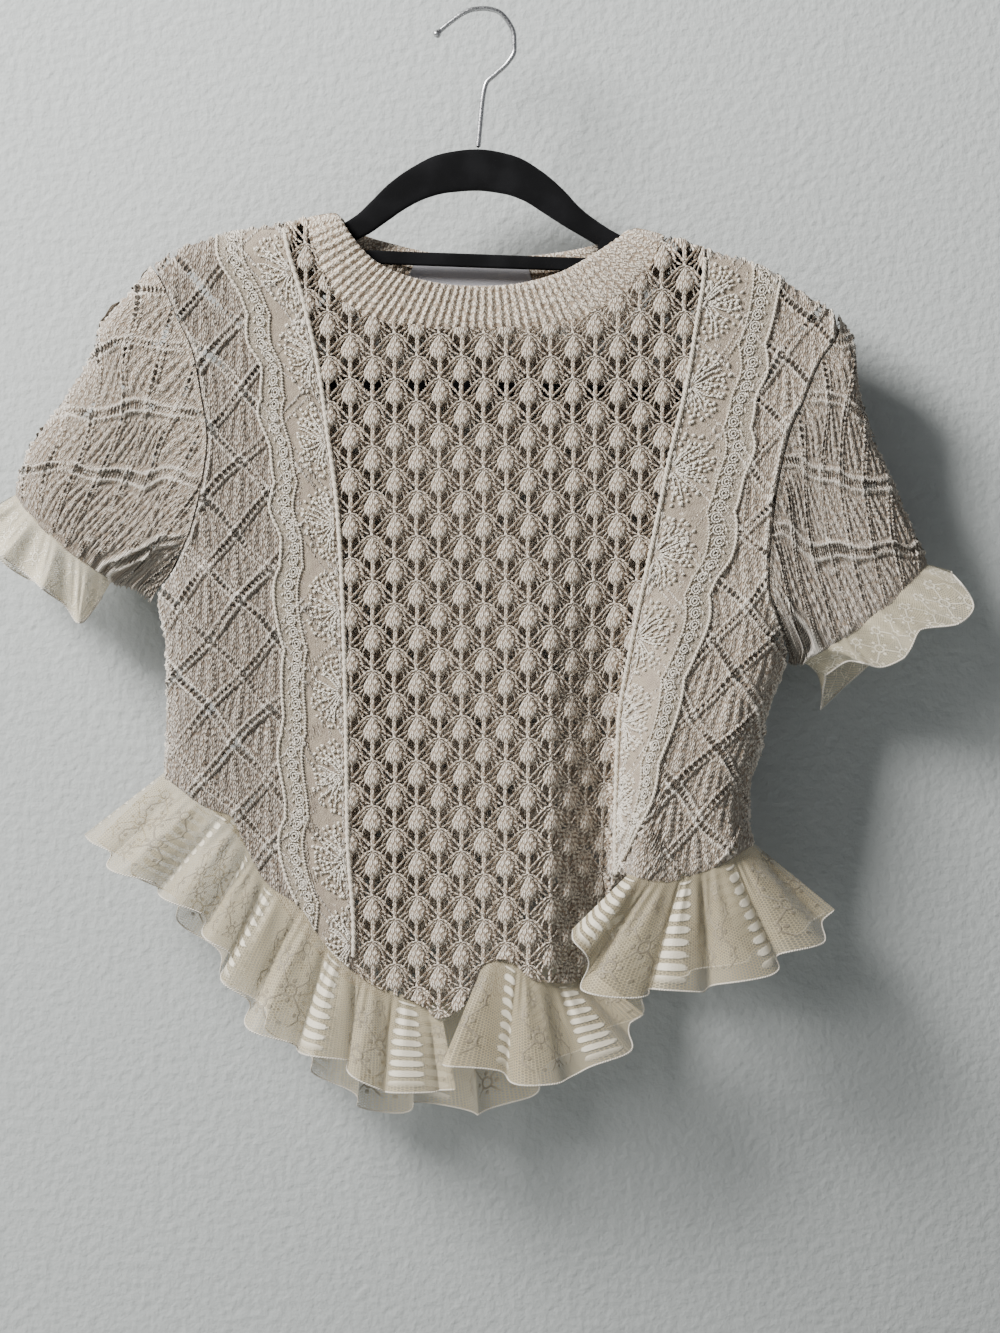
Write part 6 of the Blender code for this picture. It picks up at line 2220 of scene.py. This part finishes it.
def build_garment(finishes: Finishes) -> None:
    """Build every piece of the knit top.

    Args:
        finishes: The finishes.
    """
    front = BodyField(FRONT_FOLDS, Facing.FRONT)
    back = BodyField(BACK_FOLDS, Facing.BACK)
    LeafLace(front, finishes).build()

    def seam_left(z: Points) -> Points:
        """Left corded seam."""
        return curve(STRIP_LEFT_INNER, z) - SEAM_GAP

    def seam_right(z: Points) -> Points:
        """Right corded seam."""
        return curve(STRIP_RIGHT_INNER, z) + SEAM_GAP

    panels = (
        ("side_left_lace", "front_side_left", front, inside_left, seam_left, NECK_FRONT,
         HEM_FRONT, 1.2, 460.0, (0.125, 0.45), 0.042),
        ("side_right_lace", "front_side_right", front, seam_right, inside_right, NECK_FRONT,
         HEM_FRONT, 1.2, 420.0, (0.135, 0.40), 0.040),
        ("back_lace", "back_panel", back, inside_left, inside_right, NECK_BACK, HEM_BACK,
         1.8, 500.0, (0.42, 0.47), 0.165),
    )
    for name, node, field, left, right, stations, hem, cell, length, flat, area in panels:
        # The left side panel takes the darker copy of the diamond yarn, which is painted shade.
        finish = finishes.side if node == "front_side_left" else finishes.diamond
        panel = DiamondPanel(name, field, left, right, stations, hem, cell, finish, length)
        piece = finish_piece(panel.build(), "knit", node)
    bands = (
        ("neckband_front", NECK_FRONT, front, 50, (0.25, 0.026)),
        ("neckband_back", NECK_BACK, back, 38, (0.20, 0.024)),
    )
    for node, stations, field, ribs, flat in bands:
        piece = Neckband(node + "_rib", stations, field, ribs, finishes.rib).build()
        finish_piece(piece, "knit", node)
        flat[1] * 1.4
    NeckLabel(back, finishes.label).build()
    sleeves = (
        ("left", -1, SLEEVE_LEFT_TOP, SLEEVE_LEFT_UNDER, CUFF_LEFT_FRONT, CUFF_LEFT_BACK),
        ("right", 1, SLEEVE_RIGHT_TOP, SLEEVE_RIGHT_UNDER, CUFF_RIGHT_FRONT, CUFF_RIGHT_BACK),
    )
    for name, side, top, under, cuff_front, cuff_back in sleeves:
        sleeve = Sleeve(name, side, front, back, top, under, finishes)
        sleeve.build()
        Cuff(name, sleeve, cuff_front, cuff_back, finishes).build()
    LaceStrip("left", front, STRIP_LEFT_INNER, STRIP_LEFT_OUTER, -1, finishes).build()
    LaceStrip("right", front, STRIP_RIGHT_INNER, STRIP_RIGHT_OUTER, 1, finishes).build()
    ruffles = (
        HemRuffle("hem_ruffle_left", RUFFLE_LEFT, front, 9, 8.0, 6.0, ((0.0, 2.0),), finishes,
                  ((-190.8, -526.8), (-164.4, -547.8), (-152.4, -574.8), (-100.2, -619.2))),
        HemRuffle("hem_ruffle_centre", RUFFLE_CENTRE, front, 3, 10.0, 5.0, (), finishes,
                  ((14.4, -628.2), (70.2, -621.6))),
        HemRuffle("hem_ruffle_right", RUFFLE_RIGHT, front, 5, 8.0, 6.0, ((1.0, 2.0),), finishes,
                  ((110.4, -577.8), (164.4, -567.6))),
        HemRuffle("hem_ruffle_back", RUFFLE_BACK, back, 14, 5.0, 5.0,
                  ((0.0, 2.0), (1.0, 2.0)), finishes),
    )
    for ruffle in ruffles:
        ruffle.build()


@dataclass
class Studio:
    """Pale backdrop and floor, soft light from the left, and the camera."""

    distance: float = 2.5
    middle: tuple = (0.0102, -0.3933)
    tall: float = 0.7998

    def build_stage(self) -> None:
        """Make the backdrop and the floor, with a faint grain and painted shade that darkens towards
        the bottom and the right.
        """
        made, graph, shader = start_material("backdrop_paint_with_painted_shade", 0.85)
        place = graph.place()
        grain = graph.noise(place, 180.0, 3.0)
        paint = graph.mix(grain, (0.49, 0.515, 0.51, 1.0), (0.52, 0.545, 0.54, 1.0))
        across, _, up = graph.split(place)
        down = up.ramp(0.0, -0.8)
        right = across.ramp(-0.3, 0.35)
        # Painted shade: the paint darkens towards the bottom and the right, standing in for the fall
        # of the light.
        shade = down * 0.20 + right * 0.05 + down * right * 0.16
        graph.feed(shader.inputs["Base Color"], graph.mix(shade, paint, (0.05, 0.052, 0.05, 1.0)))
        bump(graph, shader, grain, 0.0016, 0.8)
        behind = graph.add("ShaderNodeNewGeometry", "Backfacing")
        graph.feed(shader.inputs["Alpha"], 1.0 - behind)
        for name, corners in (
            ("backdrop", ((-4, 0.05, -1.4), (4, 0.05, -1.4), (4, 0.05, 3), (-4, 0.05, 3))),
            ("floor", ((-4, -6, -1.4), (4, -6, -1.4), (4, 0.05, -1.4), (-4, 0.05, -1.4))),
        ):
            mesh = bpy.data.meshes.new(name)
            mesh.from_pydata(corners, [], [(0, 1, 2, 3)])
            mesh.materials.append(made)
            thing = bpy.data.objects.new(name, mesh)
            bpy.context.scene.collection.objects.link(thing)

    def add_light(self, name: str, place: tuple, aim: tuple, size: float, power: float,
                  colour: tuple) -> None:
        """Add a square area light aimed at a place.

        Args:
            name: Its name.
            place: Where it stands.
            aim: What it is aimed at.
            size: Its side, in metres.
            power: Its power, in watts.
            colour: Its colour.
        """
        data = bpy.data.lights.new(name, "AREA")
        data.size = size
        data.energy = power
        data.color = colour
        light = bpy.data.objects.new(name, data)
        light.location = place
        way = Vector(aim) - Vector(place)
        light.rotation_euler = way.to_track_quat("-Z", "Y").to_euler()
        bpy.context.scene.collection.objects.link(light)

    def build(self) -> None:
        """Set up stage, light, world and camera."""
        self.build_stage()
        self.add_light("window", (-1.9, -1.55, 1.35), (0.15, 0.0, 0.1), 1.0, 250.0,
                       (1.0, 0.99, 0.97))
        self.add_light("fill", (1.2, -2.6, -0.2), (0.0, 0.0, -0.4), 2.0, 4.0,
                       (0.93, 0.96, 1.0))
        world = bpy.context.scene.world or bpy.data.worlds.new("studio")
        bpy.context.scene.world = world
        world.use_nodes = True
        back = world.node_tree.nodes.get("Background")
        back.inputs[0].default_value = (0.92, 0.95, 1.0, 1.0)
        back.inputs[1].default_value = 0.13
        data = bpy.data.cameras.new("camera")
        data.sensor_width = 36.0
        data.lens = 36.0 * self.distance / self.tall
        camera = bpy.data.objects.new("camera", data)
        camera.location = (self.middle[0], -self.distance, self.middle[1])
        camera.rotation_euler = (math.radians(90), 0.0, 0.0)
        bpy.context.scene.collection.objects.link(camera)
        bpy.context.scene.camera = camera


def main() -> None:
    """Dress the model and set up the studio."""
    logging.basicConfig(level=logging.INFO, format="%(message)s")
    Studio().build()
    finishes = build_finishes()
    Hanger(finishes).build()
    build_garment(finishes)


if __name__ == "__main__":
    main()
